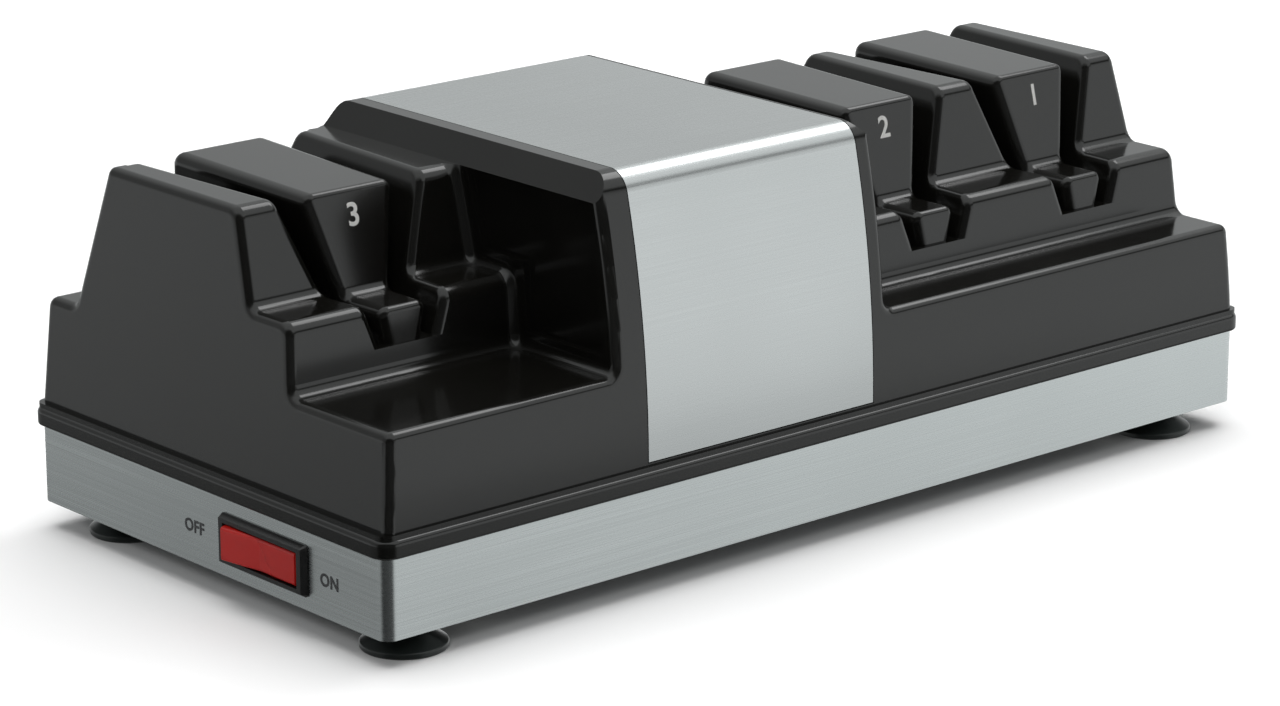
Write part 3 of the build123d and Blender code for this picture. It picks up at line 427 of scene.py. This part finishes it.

# %% [markdown]
# ### Brushed steel
# Cover and band are thin stainless sheet with a fine belt finish, which spreads a highlight over the
# sheet. An anisotropic shader could spread it as well, by one amount for the whole sheet. Here the streaks
# vary colour, roughness and bump, so that the highlight breaks up along the scratches. Broad darker
# clouds in the colour are partly an uneven belt finish and partly a painted reflection.

# %% Cover and band
RUBBED_STEEL = colour(0.70, 0.71, 0.71)
GRAIN_LINES = 2600.0
GRAIN_RUN = 7.0
SCRATCH_AND_REFLECTION_SHADE = 0.88
SCRATCH_SHADE_RANGE = (0.3, 0.7)
SCRATCH_GLOSS_RANGE = (0.25, 0.75)
SMOOTHEST = 0.85
ROUGHEST = 1.2
CLOUD_AND_REFLECTION_RANGE = (0.35, 0.70)
CLOUD_AND_REFLECTION_SHARE = 0.7


def brushed_sheet(name, base, rough, depth):
    """Stainless sheet with a belt grain of a given depth."""
    material, tree, shader = new_material(name, Metallic=1.0)
    grain = place(tree, brushed, Lines=GRAIN_LINES, Run=GRAIN_RUN)
    rub = place(tree, edges, Width=0.4 * MM, Strength=0.5)
    darker = shade(base, SCRATCH_AND_REFLECTION_SHADE)
    scratches = ranged(tree, grain["Streak"], *SCRATCH_SHADE_RANGE)
    tone = mix_colour(tree, scratches, darker, colour(*base))
    # Broad darker clouds in the colour: partly an uneven belt finish, partly a painted reflection.
    clouds = ranged(tree, grain["Cloud"], *CLOUD_AND_REFLECTION_RANGE, 0.0, CLOUD_AND_REFLECTION_SHARE)
    tone = mix_colour(tree, clouds, tone, darker)
    tone = mix_colour(tree, rub["Mask"], tone, RUBBED_STEEL)
    spread = ranged(tree, grain["Streak"], *SCRATCH_GLOSS_RANGE, rough * SMOOTHEST, rough * ROUGHEST)
    feed(tree, shader, Base_Color=tone, Roughness=spread)
    bump(tree, shader, grain["Streak"], depth)
    return material


cover_steel = brushed_sheet("cover_steel", (0.60, 0.62, 0.62), 0.26, 0.004 * MM)
band_steel = brushed_sheet("band_steel", (0.76, 0.80, 0.80), 0.26, 0.003 * MM)
print(cover_steel.name, band_steel.name)

# %% [markdown]
# ### Rubber
# The suction feet are smooth rubber, and the bush for the cord is a duller one. Rubber is dark, softly
# glossy and quick to hold dust, so it takes the skin group and far more dust than the housing. A plain
# black would show no form at all.

# %% Feet and cord bush
RUBBER_DUST = colour(0.28, 0.27, 0.25)


def smooth_rubber(name, base, rough):
    """Dark rubber with a soft gloss that picks up dust."""
    material, tree, shader = new_material(name, IOR=1.5)
    surface = place(tree, skin, Wave=120.0, Pebble=2400.0)
    dirt = place(tree, dust, Amount=0.35, Speck=2600.0)
    tone = two_shades(tree, surface["Patch"], base, 1.5)
    tone = mix_colour(tree, dirt["Mask"], tone, RUBBER_DUST)
    feed(tree, shader, Base_Color=tone, Roughness=two_roughnesses(tree, surface["Patch"], rough, 1.4))
    bump(tree, shader, surface["Height"], 0.03 * MM)
    return material


foot_rubber = smooth_rubber("foot_rubber", (0.010, 0.013, 0.012), 0.28)
gland_rubber = smooth_rubber("gland_rubber", (0.014, 0.014, 0.014), 0.45)
print(foot_rubber.name, gland_rubber.name)

# %% [markdown]
# ### Switch
# A black bezel holds a red rocker. The rocker's plastic lets a little light in, which scatters under its
# face. A plain red would look like paint, and a glass shader would suit a rocker with a lamp inside, but
# this one is unlit.

# %% Bezel and rocker
RED = colour(0.34, 0.006, 0.004)
RED_PATCH = colour(0.39, 0.009, 0.006)
RUBBED_RED = colour(0.46, 0.03, 0.02)
RED_REACH = (0.004, 0.0008, 0.0005)
RED_ROUGHNESSES = (0.22, 0.32)


def rocker_plastic():
    """Red moulded plastic with a little light under its face."""
    material, tree, shader = new_material("rocker_red", IOR=1.49, Subsurface_Weight=0.15)
    shader.inputs["Subsurface Radius"].default_value = RED_REACH
    surface = place(tree, skin, Wave=90.0, Pebble=1600.0)
    rub = place(tree, edges, Width=0.5 * MM, Strength=0.5)
    tone = mix_colour(tree, surface["Patch"], RED, RED_PATCH)
    tone = mix_colour(tree, rub["Mask"], tone, RUBBED_RED)
    feed(tree, shader, Base_Color=tone, Roughness=ranged(tree, surface["Patch"], 0, 1, *RED_ROUGHNESSES))
    bump(tree, shader, surface["Height"], 0.02 * MM)
    return material


switch_black = glossy_moulding("switch_black", (0.008, 0.008, 0.008), 0.22, 0.02 * MM, 0.05)
rocker_red = rocker_plastic()
print(switch_black.name, rocker_red.name)

# %% [markdown]
# ## Finishes of the inside
# Little of the motor and the shaft shows through the slots, but the parts are used on their own too, so
# each gets a finish of its own.
#
# ### Bare metal
# Shaft, bearings, springs, screws, magnets, contacts, bushes and end brackets are bare or plated metal
# with turning or casting marks. Real grooves would be finer than a mesh can sensibly hold, so one maker
# gives them all, from a colour, a roughness, and the scale and depth of the marks.

# %% Bare metals
PEBBLES_TO_A_WAVE = 12
TARNISHED_SHADE = 0.82
RUBBED_SHADE = 1.2


def bare_metal(name, base, rough, scale, depth):
    """Metal with machining or casting marks of a given scale and depth."""
    material, tree, shader = new_material(name, Metallic=1.0)
    surface = place(tree, skin, Wave=scale, Pebble=scale * PEBBLES_TO_A_WAVE)
    rub = place(tree, edges, Width=0.4 * MM, Strength=0.6)
    tone = two_shades(tree, surface["Patch"], base, TARNISHED_SHADE)
    tone = mix_colour(tree, rub["Mask"], tone, shade(base, RUBBED_SHADE))
    feed(tree, shader, Base_Color=tone, Roughness=two_roughnesses(tree, surface["Patch"], rough, 1.5))
    bump(tree, shader, surface["Height"], depth)
    return material


metals = [
    bare_metal("shaft_steel", (0.62, 0.62, 0.63), 0.16, 300.0, 0.003 * MM),
    bare_metal("bearing_steel", (0.66, 0.66, 0.68), 0.14, 300.0, 0.002 * MM),
    bare_metal("spring_steel", (0.46, 0.46, 0.47), 0.28, 500.0, 0.004 * MM),
    bare_metal("zinc_steel", (0.60, 0.60, 0.57), 0.32, 220.0, 0.010 * MM),
    bare_metal("magnet_nickel", (0.66, 0.63, 0.57), 0.20, 160.0, 0.006 * MM),
    bare_metal("contact_brass", (0.72, 0.56, 0.27), 0.25, 200.0, 0.006 * MM),
    bare_metal("bush_bronze", (0.52, 0.34, 0.17), 0.42, 700.0, 0.015 * MM),
    bare_metal("bracket_alloy", (0.60, 0.61, 0.62), 0.42, 260.0, 0.030 * MM),
]
print([metal.name for metal in metals])

# %% [markdown]
# ### Stamped sheets
# The iron cores of the motor are stacks of thin stamped sheets. The sheets could be separate solids, but
# that is a great many for parts that hardly show, so a saw tooth along the shaft draws a dark line between
# each two. Patches of a brown stain keep the stack from looking freshly cut.

# %% Iron cores
SHEET_PITCH = 1.0 * MM
SHEET_GAP_RANGE = (0.36, 0.5)
GAP_SHADE = 0.35
SHEET_ROUGHNESS = 0.38
GAP_ROUGHNESS = 0.7
BROWN_STAIN = colour(0.16, 0.10, 0.06)
STAIN_SHARE = 0.3


def layered_steel(name, base, pitch):
    """Stamped sheets stacked along the shaft, with a line between each two."""
    material, tree, shader = new_material(name, Metallic=0.8)
    parts = add_node(tree, "ShaderNodeSeparateXYZ")
    tree.links.new(object_place(tree), parts.inputs[0])
    saw = math_node(tree, "FRACT", math_node(tree, "DIVIDE", parts.outputs[0], pitch))
    off_middle = math_node(tree, "ABSOLUTE", math_node(tree, "SUBTRACT", saw, 0.5))
    gap = ranged(tree, off_middle, *SHEET_GAP_RANGE)
    surface = place(tree, skin, Wave=70.0, Pebble=900.0)
    tone = two_shades(tree, gap, base, GAP_SHADE)
    tone = mix_colour(tree, ranged(tree, surface["Patch"], 0, 1, 0, STAIN_SHARE), tone, BROWN_STAIN)
    rough = ranged(tree, gap, 0, 1, SHEET_ROUGHNESS, GAP_ROUGHNESS)
    feed(tree, shader, Base_Color=tone, Roughness=rough)
    bump(tree, shader, math_node(tree, "SUBTRACT", 1.0, gap), 0.08 * MM)
    return material


core_steel = layered_steel("core_steel", (0.30, 0.30, 0.31), SHEET_PITCH)
print(core_steel.name, "with a sheet every", SHEET_PITCH, "m")

# %% [markdown]
# ### Copper
# The coils are wound from enamelled copper wire, and the commutator wears the same copper. Real turns
# would be many curves that hardly show, so a wave texture draws slanting ridges under a clear coat, with
# painted shade in the grooves between them. The wave node turns through 10 radians for each unit it is
# given, and a ridge is one full turn of it.

# %% Copper wire
WAVE_LENGTH = 5.67 * MM
RADIANS_TO_A_UNIT = 10.0
GROOVE_PAINTED_SHADE = 0.45
GROOVE_ROUGHNESS = 0.45
RIDGE_ROUGHNESS = 0.25
VARNISH = colour(0.20, 0.09, 0.04)
VARNISH_SHARE = 0.25


def wound_wire(name, base, wave_length):
    """Enamelled turns of wire, as slanting ridges with painted shade in the grooves."""
    material, tree, shader = new_material(name, Metallic=0.9, Coat_Weight=0.5)
    wave = add_node(tree, "ShaderNodeTexWave", bands_direction="DIAGONAL")
    feed(tree, wave, Vector=object_place(tree), Scale=1.0 / wave_length, Distortion=0.6, Detail=2.0)
    surface = place(tree, skin, Wave=80.0, Pebble=1200.0)
    ridge = wave.outputs["Fac"]
    # The grooves between turns are darker in colour: painted shade.
    tone = mix_colour(tree, ridge, shade(base, GROOVE_PAINTED_SHADE), colour(*base))
    tone = mix_colour(tree, ranged(tree, surface["Patch"], 0, 1, 0, VARNISH_SHARE), tone, VARNISH)
    rough = ranged(tree, ridge, 0, 1, GROOVE_ROUGHNESS, RIDGE_ROUGHNESS)
    feed(tree, shader, Base_Color=tone, Roughness=rough)
    bump(tree, shader, ridge, 0.15 * MM)
    return material


copper_wire = wound_wire("copper_wire", (0.62, 0.26, 0.12), WAVE_LENGTH)
ridge_spacing = WAVE_LENGTH * 2 * math.pi / RADIANS_TO_A_UNIT
print(copper_wire.name, "with a ridge every", round(ridge_spacing, 5), "m along each axis")

# %% [markdown]
# ### Dull mouldings, paint and carbon
# The base plate is painted, the cradle, the posts and the fan are plain mouldings, and the brushes are
# carbon. All four finishes are matt, faintly uneven and a little dusty, so they share one maker. A maker
# for each would repeat the same nodes with other numbers.

# %% Dull finishes
GREY_DUST = colour(0.35, 0.33, 0.30)


def dull_moulding(name, base, rough):
    """Matt plastic, paint or carbon, with dust on its upward faces."""
    material, tree, shader = new_material(name, IOR=1.5)
    surface = place(tree, skin, Wave=60.0, Pebble=1500.0)
    dirt = place(tree, dust, Amount=0.4, Speck=1500.0)
    tone = two_shades(tree, surface["Patch"], base, 0.86)
    tone = mix_colour(tree, dirt["Mask"], tone, GREY_DUST)
    feed(tree, shader, Base_Color=tone, Roughness=two_roughnesses(tree, surface["Patch"], rough, 1.2))
    bump(tree, shader, surface["Height"], 0.06 * MM)
    return material


dull_finishes = [
    dull_moulding("plate_paint", (0.030, 0.030, 0.032), 0.42),
    dull_moulding("cradle_plastic", (0.060, 0.060, 0.064), 0.5),
    dull_moulding("fan_plastic", (0.60, 0.59, 0.55), 0.45),
    dull_moulding("carbon", (0.022, 0.022, 0.023), 0.6),
]
print([finish.name for finish in dull_finishes])

# %% [markdown]
# ### Bonded grit
# The discs do their work with grit held in a binder: a polishing compound on the strop pair, and fine and
# coarse diamond on the others. Loose grains as real objects would be far too many. Each grain is a cell
# of a Voronoi texture instead, raised and lighter than the binder round it.

# %% Discs
CROWN_RANGE = (0.55, 0.1)
BINDER_ROUGHNESS = 0.75
GRAIN_ROUGHNESS = 0.35


def bonded_grit(name, base, binder, grain, depth, metal):
    """Grit held in a binder: grains of a given size and height, lighter than the binder."""
    material, tree, shader = new_material(name, Metallic=metal)
    cells = add_node(tree, "ShaderNodeTexVoronoi", feature="F1")
    feed(tree, cells, Vector=object_place(tree), Scale=1.0 / grain)
    crown = ranged(tree, cells.outputs["Distance"], *CROWN_RANGE)
    tone = mix_colour(tree, crown, colour(*binder), colour(*base))
    rough = ranged(tree, crown, 0, 1, BINDER_ROUGHNESS, GRAIN_ROUGHNESS)
    feed(tree, shader, Base_Color=tone, Roughness=rough)
    bump(tree, shader, crown, depth)
    return material


grits = [
    bonded_grit("strop_compound", (0.62, 0.60, 0.55), (0.42, 0.40, 0.36), 0.25 * MM, 0.02 * MM, 0.0),
    bonded_grit("fine_diamond", (0.60, 0.60, 0.58), (0.30, 0.29, 0.27), 0.15 * MM, 0.03 * MM, 0.8),
    bonded_grit("coarse_diamond", (0.58, 0.57, 0.54), (0.22, 0.21, 0.19), 0.30 * MM, 0.06 * MM, 0.8),
]
print([grit.name for grit in grits], "so there are", len(finishes), "finishes")

# %% [markdown]
# ## Give every part its finish
# The parts' record names the finish of each part, and the finishes above are kept under the same names,
# so one loop dresses them all. Each part could have a line of its own, but then a forgotten one would
# keep its flat colour. Here a finish that is missing stops the script.

# %% Dress the parts
finish_of = {item["node"]: item["material_slot"] for item in frame["record"]["subparts"]}


def dress(node_name, material):
    """Puts one finish on a whole part."""
    mesh = nodes[node_name].data
    mesh.materials.clear()
    mesh.materials.append(material)


for node_name in nodes:
    dress(node_name, finishes[finish_of[node_name]])
print("dressed", len(nodes), "parts in", len(set(finish_of.values())), "finishes")

# %% [markdown]
# ## Springs cut in half
# A disc slides along the shaft when a blade pushes it, and its spring shortens by as much. A rigid solid
# can't do that: the disc would run into the coil. So each coil is cut in the middle, and each half spans
# from the shaft at the cut to the disc at its end. The whole coil could instead be flattened by one joint,
# but then it would follow only one of its two discs. Here the halves are only cut out and the whole coil
# hidden; neither half is joined to its disc.

# %% Spring halves
SAME_POINT = 0.001 * MM


def spring_half(stage, side):
    """One half of a disc spring, which reaches from the middle of the coil to the disc on its side."""
    coil = stage + "_disc_spring"
    low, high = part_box(coil)
    middle = (low + high) / 2
    outward = Vector((-1, 0, 0)) if side == "left" else Vector((1, 0, 0))
    mesh = nodes[coil].data.copy()
    form = bmesh.new()
    form.from_mesh(mesh)
    bmesh.ops.remove_doubles(form, verts=form.verts, dist=SAME_POINT)
    everything = form.verts[:] + form.edges[:] + form.faces[:]
    bmesh.ops.bisect_plane(form, geom=everything, plane_co=middle, plane_no=-outward, clear_outer=True)
    bmesh.ops.holes_fill(form, edges=[edge for edge in form.edges if edge.is_boundary])
    bmesh.ops.recalc_face_normals(form, faces=form.faces)
    form.to_mesh(mesh)
    form.free()
    half = bpy.data.objects.new(stage + "_spring_" + side + "_half", mesh)
    bpy.context.scene.collection.objects.link(half)
    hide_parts(coil)
    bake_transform(half)
    return half


for stage in ("strop", "fine", "coarse"):
    for side in ("left", "right"):
        half = spring_half(stage, side)
        print(half.name, len(half.data.polygons), "faces")

# %% [markdown]
# ## Printed marks
# The stages are numbered on the sloping fronts of their guides in pale ink, and the switch has its two
# words beside it in dark ink on the steel. Pad printing leaves a film of a few hundredths of a
# millimetre. A painted mask would need a map for each face, so each mark is real text instead, a hair
# above its surface, that rides with the housing.

# %% Printing ink


def printing_ink(name, base, rough):
    """Dried ink with a faint mottle."""
    material, tree, shader = new_material(name, IOR=1.48)
    surface = place(tree, skin, Wave=400.0, Pebble=5000.0)
    tone = two_shades(tree, surface["Patch"], base, 0.9)
    feed(tree, shader, Base_Color=tone, Roughness=two_roughnesses(tree, surface["Patch"], rough, 1.3))
    bump(tree, shader, surface["Height"], 0.01 * MM)
    return material


pale_ink = printing_ink("pale_ink", (0.62, 0.62, 0.60), 0.4)
dark_ink = printing_ink("dark_ink", (0.040, 0.041, 0.043), 0.45)
print(pale_ink.name, dark_ink.name)

# %% [markdown]
# ### One maker for every mark
# A mark is a text curve with the thickness of the film. It could be turned into place by trial. The maker
# takes where its middle lies, which way it reads and which way is up, and works the turn out from those.
# A text curve's size is that of the whole letter body, of which a capital takes about 0.7.

# %% Text maker
INK_FILM = 0.03 * MM
INK_LIFT = 0.05 * MM
CAPITAL_SHARE = 0.70
LETTER_SPACE = 1.08
CURVE_STEPS = 6


def printed(name, words, height, middle, right, up, ink, bold):
    """Words printed on a face: capitals of a given height, centred at middle, reading along right."""
    curve = bpy.data.curves.new(name, "FONT")
    curve.body = words
    curve.size = height / CAPITAL_SHARE
    curve.extrude = INK_FILM / 2
    curve.offset = bold
    curve.space_character = LETTER_SPACE
    curve.align_x = "CENTER"
    curve.align_y = "CENTER"
    curve.resolution_u = CURVE_STEPS
    curve.materials.append(ink)
    mark = bpy.data.objects.new(name, curve)
    bpy.context.scene.collection.objects.link(mark)
    right = Vector(right).normalized()
    up = Vector(up).normalized()
    out = right.cross(up)
    turn = Matrix((right, up, out)).transposed().to_4x4()
    mark.matrix_world = Matrix.Translation(Vector(middle) + out * (INK_LIFT + INK_FILM / 2)) @ turn
    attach(mark, "housing")
    return mark


print("ink film", INK_FILM, "m")

# %% [markdown]
# ### Stage numbers
# Each guide block leans back, and its number lies on the front of it. The three blocks share one shape, and
# that of the strop stage only stands further back, so the front is given once, by its foot and its head in
# the side view. It could be measured on each mesh too, which would need a search for the right face.

# %% Stage numbers
FACE_FOOT = Vector((0.0, -38.5, 78.4)) * MM
FACE_HEAD = Vector((0.0, -31.8, 105.1)) * MM
STROP_SETBACK = 21.5 * MM
NUMBER_HEIGHT = 6.0 * MM
NUMBER_Z = 98.0 * MM
NUMBER_BOLD = 0.15 * MM
ALONG_X = (1, 0, 0)


def stage_number(stage, words):
    """A number in the middle of one guide block's front."""
    low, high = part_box(stage + "_guide_insert")
    setback = STROP_SETBACK if stage == "strop" else 0.0
    slope = FACE_HEAD - FACE_FOOT
    share = (NUMBER_Z - FACE_FOOT.z) / slope.z
    y = FACE_FOOT.y + slope.y * share + setback
    middle = ((low.x + high.x) / 2, y, NUMBER_Z)
    name = stage + "_number"
    return printed(name, words, NUMBER_HEIGHT, middle, ALONG_X, slope, pale_ink, NUMBER_BOLD)


for stage, words in (("coarse", "1"), ("fine", "2"), ("strop", "3")):
    mark = stage_number(stage, words)
    print(mark.name, [round(v, 4) for v in mark.matrix_world.translation])

# %% [markdown]
# ### Switch words
# OFF stands behind the switch and ON in front of it, on the left end of the band. Seen from that end both
# read from the back of the machine to its front. They could be one piece of text with a gap, but two
# pieces can be placed on either side of the bezel without counting spaces.

# %% Switch words
band_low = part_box("steel_base_band")[0]
WORD_HEIGHT = 3.3 * MM
WORD_Z = 17.6 * MM
WORD_BOLD = 0.13 * MM
OFF_Y = 4.7 * MM
ON_Y = -53.5 * MM
TO_THE_FRONT = (0, -1, 0)
UP = (0, 0, 1)
for name, words, y in (("switch_word_off", "OFF", OFF_Y), ("switch_word_on", "ON", ON_Y)):
    middle = (band_low.x, y, WORD_Z)
    printed(name, words, WORD_HEIGHT, middle, TO_THE_FRONT, UP, dark_ink, WORD_BOLD)
    print(name, "at", [round(v, 4) for v in middle])

# %% [markdown]
# ## The studio
# ### Floor
# A product table is a pale sweep. Near the machine the floor shows hardly more than the light that falls
# on it, so the machine's shadow stays. Further out it glows for the camera alone, until it is white.
# Stronger lamps would make the floor white too, but they would bleach the steel.

# %% Floor
FLOOR_SIZE = 8.0
FLOOR_WHITE = colour(0.93, 0.93, 0.93)
WHITE = colour(1, 1, 1)
NEAR_GLOW = 0.01
FAR_GLOW = 1.0
GLOW_RISES = (0.35, 1.40)


def studio_floor():
    """A flat floor at z = 0 that glossy faces don't mirror."""
    mesh = bpy.data.meshes.new("studio_floor")
    half = FLOOR_SIZE / 2
    corners = [(-half, -half, 0), (half, -half, 0), (half, half, 0), (-half, half, 0)]
    mesh.from_pydata(corners, [], [(0, 1, 2, 3)])
    floor = bpy.data.objects.new("studio_floor", mesh)
    bpy.context.scene.collection.objects.link(floor)
    floor.visible_glossy = False
    material, tree, shader = new_material("studio_floor", Roughness=0.6, Specular_IOR_Level=0.0)
    path = add_node(tree, "ShaderNodeLightPath").outputs
    feed(tree, shader, Base_Color=FLOOR_WHITE, Emission_Color=WHITE)
    away = add_node(tree, "ShaderNodeVectorMath", operation="LENGTH")
    tree.links.new(object_place(tree), away.inputs[0])
    glow = ranged(tree, away.outputs["Value"], *GLOW_RISES, NEAR_GLOW, FAR_GLOW)
    feed(tree, shader, Emission_Strength=math_node(tree, "MULTIPLY", path["Is Camera Ray"], glow))
    mesh.materials.append(material)
    return floor


floor = studio_floor()
print(floor.name, FLOOR_SIZE, "m across, white from", GLOW_RISES[1], "m out")

# %% [markdown]
# ### Surroundings by direction
# Glossy faces show what stands round the table, so the surroundings are built for them by direction. The
# front right is bright and the back left dimmer. The horizon glows, the table darkens as the look turns
# down, and the ceiling is the brightest, for a soft line on every rounded top edge. A narrow dark gap
# under the ceiling at the front right sets that line off, and the corner behind the camera is dark. A
# picture of a real room would do as well, but it can't be tuned one direction at a time.

# %% Room for glossy faces
FRONT_RIGHT = (0.656, -0.755, 0.0)
CAMERA_CORNER = (-0.656, -0.755, 0.0)
DOWN = (0, 0, -1)
SIDE_RANGE = (-0.8, 0.8)
CEILING_RANGE = (0.50, 0.75)
HORIZON_RANGE = (-0.05, 0.12)
TABLE_RANGE = (0.19, 0.34)
GAP_TOP_RANGE = (0.42, 0.52)
GAP_FOOT_RANGE = (-0.36, -0.28)
GAP_SIDE_RANGE = (0.1, 0.4)
CORNER_RANGE = (0.45, 0.72)
BACK_LEFT_GLOW = 0.38
FRONT_RIGHT_GLOW = 0.92
HORIZON_GLOW = 1.8
WALL_GLOW = 1.05
CEILING_GLOW = 1.9
TABLE_GLOW = 0.35
DARKEST = 0.9


def towards(tree, way, direction, start, full):
    """How far a look points in a direction: 0 below start, 1 above full."""
    node = add_node(tree, "ShaderNodeVectorMath", operation="DOT_PRODUCT")
    tree.links.new(way, node.inputs[0])
    node.inputs[1].default_value = direction
    return ranged(tree, node.outputs["Value"], start, full)


def dark_places(tree, way):
    """1 in the gap under the ceiling at the front right and in the corner behind the camera."""
    above_gap = towards(tree, way, UP, *GAP_TOP_RANGE)
    below_gap = towards(tree, way, DOWN, *GAP_FOOT_RANGE)
    gap = math_node(tree, "SUBTRACT", 1.0, math_node(tree, "MAXIMUM", above_gap, below_gap))
    gap = math_node(tree, "MULTIPLY", gap, towards(tree, way, FRONT_RIGHT, *GAP_SIDE_RANGE))
    return math_node(tree, "MAXIMUM", gap, towards(tree, way, CAMERA_CORNER, *CORNER_RANGE))


def room_for_gloss(tree, way):
    """The brightness of the room as a glossy face sees it."""
    side = ranged(tree, towards(tree, way, FRONT_RIGHT, *SIDE_RANGE), 0, 1, BACK_LEFT_GLOW, FRONT_RIGHT_GLOW)
    ceiling = ranged(tree, towards(tree, way, UP, *CEILING_RANGE), 0, 1, WALL_GLOW, CEILING_GLOW)
    upper = ranged(tree, towards(tree, way, UP, *HORIZON_RANGE), 0, 1, HORIZON_GLOW, ceiling)
    height = ranged(tree, towards(tree, way, DOWN, *TABLE_RANGE), 0, 1, upper, TABLE_GLOW)
    room = math_node(tree, "MULTIPLY", side, height)
    dark = math_node(tree, "MULTIPLY", dark_places(tree, way), DARKEST)
    return math_node(tree, "MULTIPLY", room, math_node(tree, "SUBTRACT", 1.0, dark))


dimmest = TABLE_GLOW * BACK_LEFT_GLOW
brightest = CEILING_GLOW * FRONT_RIGHT_GLOW
print("outside its dark places the room glows from", round(dimmest, 3), "to", round(brightest, 3))

# %% [markdown]
# ### World
# The room is for glossy faces only. The camera and light that passes through a part see plain white, and
# matt faces get a weak even fill, so that no side of the machine is lost. One world for all three would
# be simpler, but a room bright enough for the gloss would also wash the shadow out.

# %% World
FILL_LIGHT = 0.12
FILL = colour(FILL_LIGHT, FILL_LIGHT, FILL_LIGHT)
BLACK = colour(0, 0, 0)
SOFT_WHITE = colour(0.97, 1.0, 1.0)


def surroundings():
    """The world: white for the camera, the room for glossy faces, a weak fill for the rest."""
    world = bpy.data.worlds.new("studio")
    bpy.context.scene.world = world
    world.use_nodes = True
    tree = world.node_tree
    way = add_node(tree, "ShaderNodeTexCoord").outputs["Generated"]
    path = add_node(tree, "ShaderNodeLightPath").outputs
    seen = math_node(tree, "MAXIMUM", path["Is Camera Ray"], path["Is Transmission Ray"])
    gloss = mix_colour(tree, room_for_gloss(tree, way), BLACK, SOFT_WHITE)
    tone = mix_colour(tree, path["Is Glossy Ray"], FILL, gloss)
    tone = mix_colour(tree, seen, tone, WHITE)
    feed(tree, tree.nodes["Background"], Color=tone, Strength=1.0)
    return world


world = surroundings()
print("world:", world.name, "with", len(world.node_tree.nodes), "nodes")

# %% [markdown]
# ### Soft boxes
# A wide box overhead gives most of the light and keeps the shadow close under the machine. A weak one
# stands at the right, and another at the front left lights the end with the switch. Bare lamps would do
# it with fewer lines, but their shadows have hard edges. Only the box at the right shows in glossy faces:
# the overhead one would turn the steel white there, so the ceiling of the room gives that gleam instead.

# %% Soft boxes


def soft_box(name, stand, size, power, mirrored=True):
    """A soft box at stand, in metres, turned to the machine; an unmirrored one shows in no glossy face."""
    data = bpy.data.lights.new(name, "AREA")
    data.shape = "RECTANGLE"
    data.size, data.size_y = size
    data.energy = power
    box = bpy.data.objects.new(name, data)
    box.location = stand
    box.rotation_euler = (-Vector(stand)).to_track_quat("-Z", "Y").to_euler()
    bpy.context.scene.collection.objects.link(box)
    box.visible_glossy = mirrored
    return box


soft_box("right_soft_box", (0.95, 0.10, 1.35), (0.75, 0.60), 4.0)
soft_box("overhead_soft_box", (0.10, 0.10, 1.70), (2.00, 2.00), 41.0, mirrored=False)
soft_box("front_left_soft_box", (-1.30, -1.10, 1.00), (0.50, 0.40), 6.0, mirrored=False)

# %% [markdown]
# ## The camera
# A long lens from above the front left corner keeps the machine's lines nearly parallel. The camera could
# stand closer with a shorter lens, but then the far end would shrink and the long sides would run together.

# %% Camera
CAMERA_PLACE = Vector((-789.0, -899.0, 389.1)) * MM
AZIMUTH = math.radians(-41.03)
ELEVATION = math.radians(16.47)
ROLL = math.radians(-0.07)
LENS = 124.5
SENSOR_WIDTH = 36.0
NEAREST_SEEN = 0.05
FARTHEST_SEEN = 50.0

camera_data = bpy.data.cameras.new("camera")
camera_data.sensor_width = SENSOR_WIDTH
camera_data.lens = LENS
camera_data.clip_start = NEAREST_SEEN
camera_data.clip_end = FARTHEST_SEEN
camera = bpy.data.objects.new("camera", camera_data)
bpy.context.scene.collection.objects.link(camera)
bpy.context.scene.camera = camera
look_back = Vector(
    (
        math.sin(AZIMUTH) * math.cos(ELEVATION),
        -math.cos(AZIMUTH) * math.cos(ELEVATION),
        math.sin(ELEVATION),
    )
)
aim = (-look_back).to_track_quat("-Z", "Y").to_matrix().to_4x4()
camera.matrix_world = Matrix.Translation(CAMERA_PLACE) @ aim @ Matrix.Rotation(ROLL, 4, "Z")
bpy.context.scene.view_settings.view_transform = "Standard"
print("camera at", [round(v, 3) for v in CAMERA_PLACE])
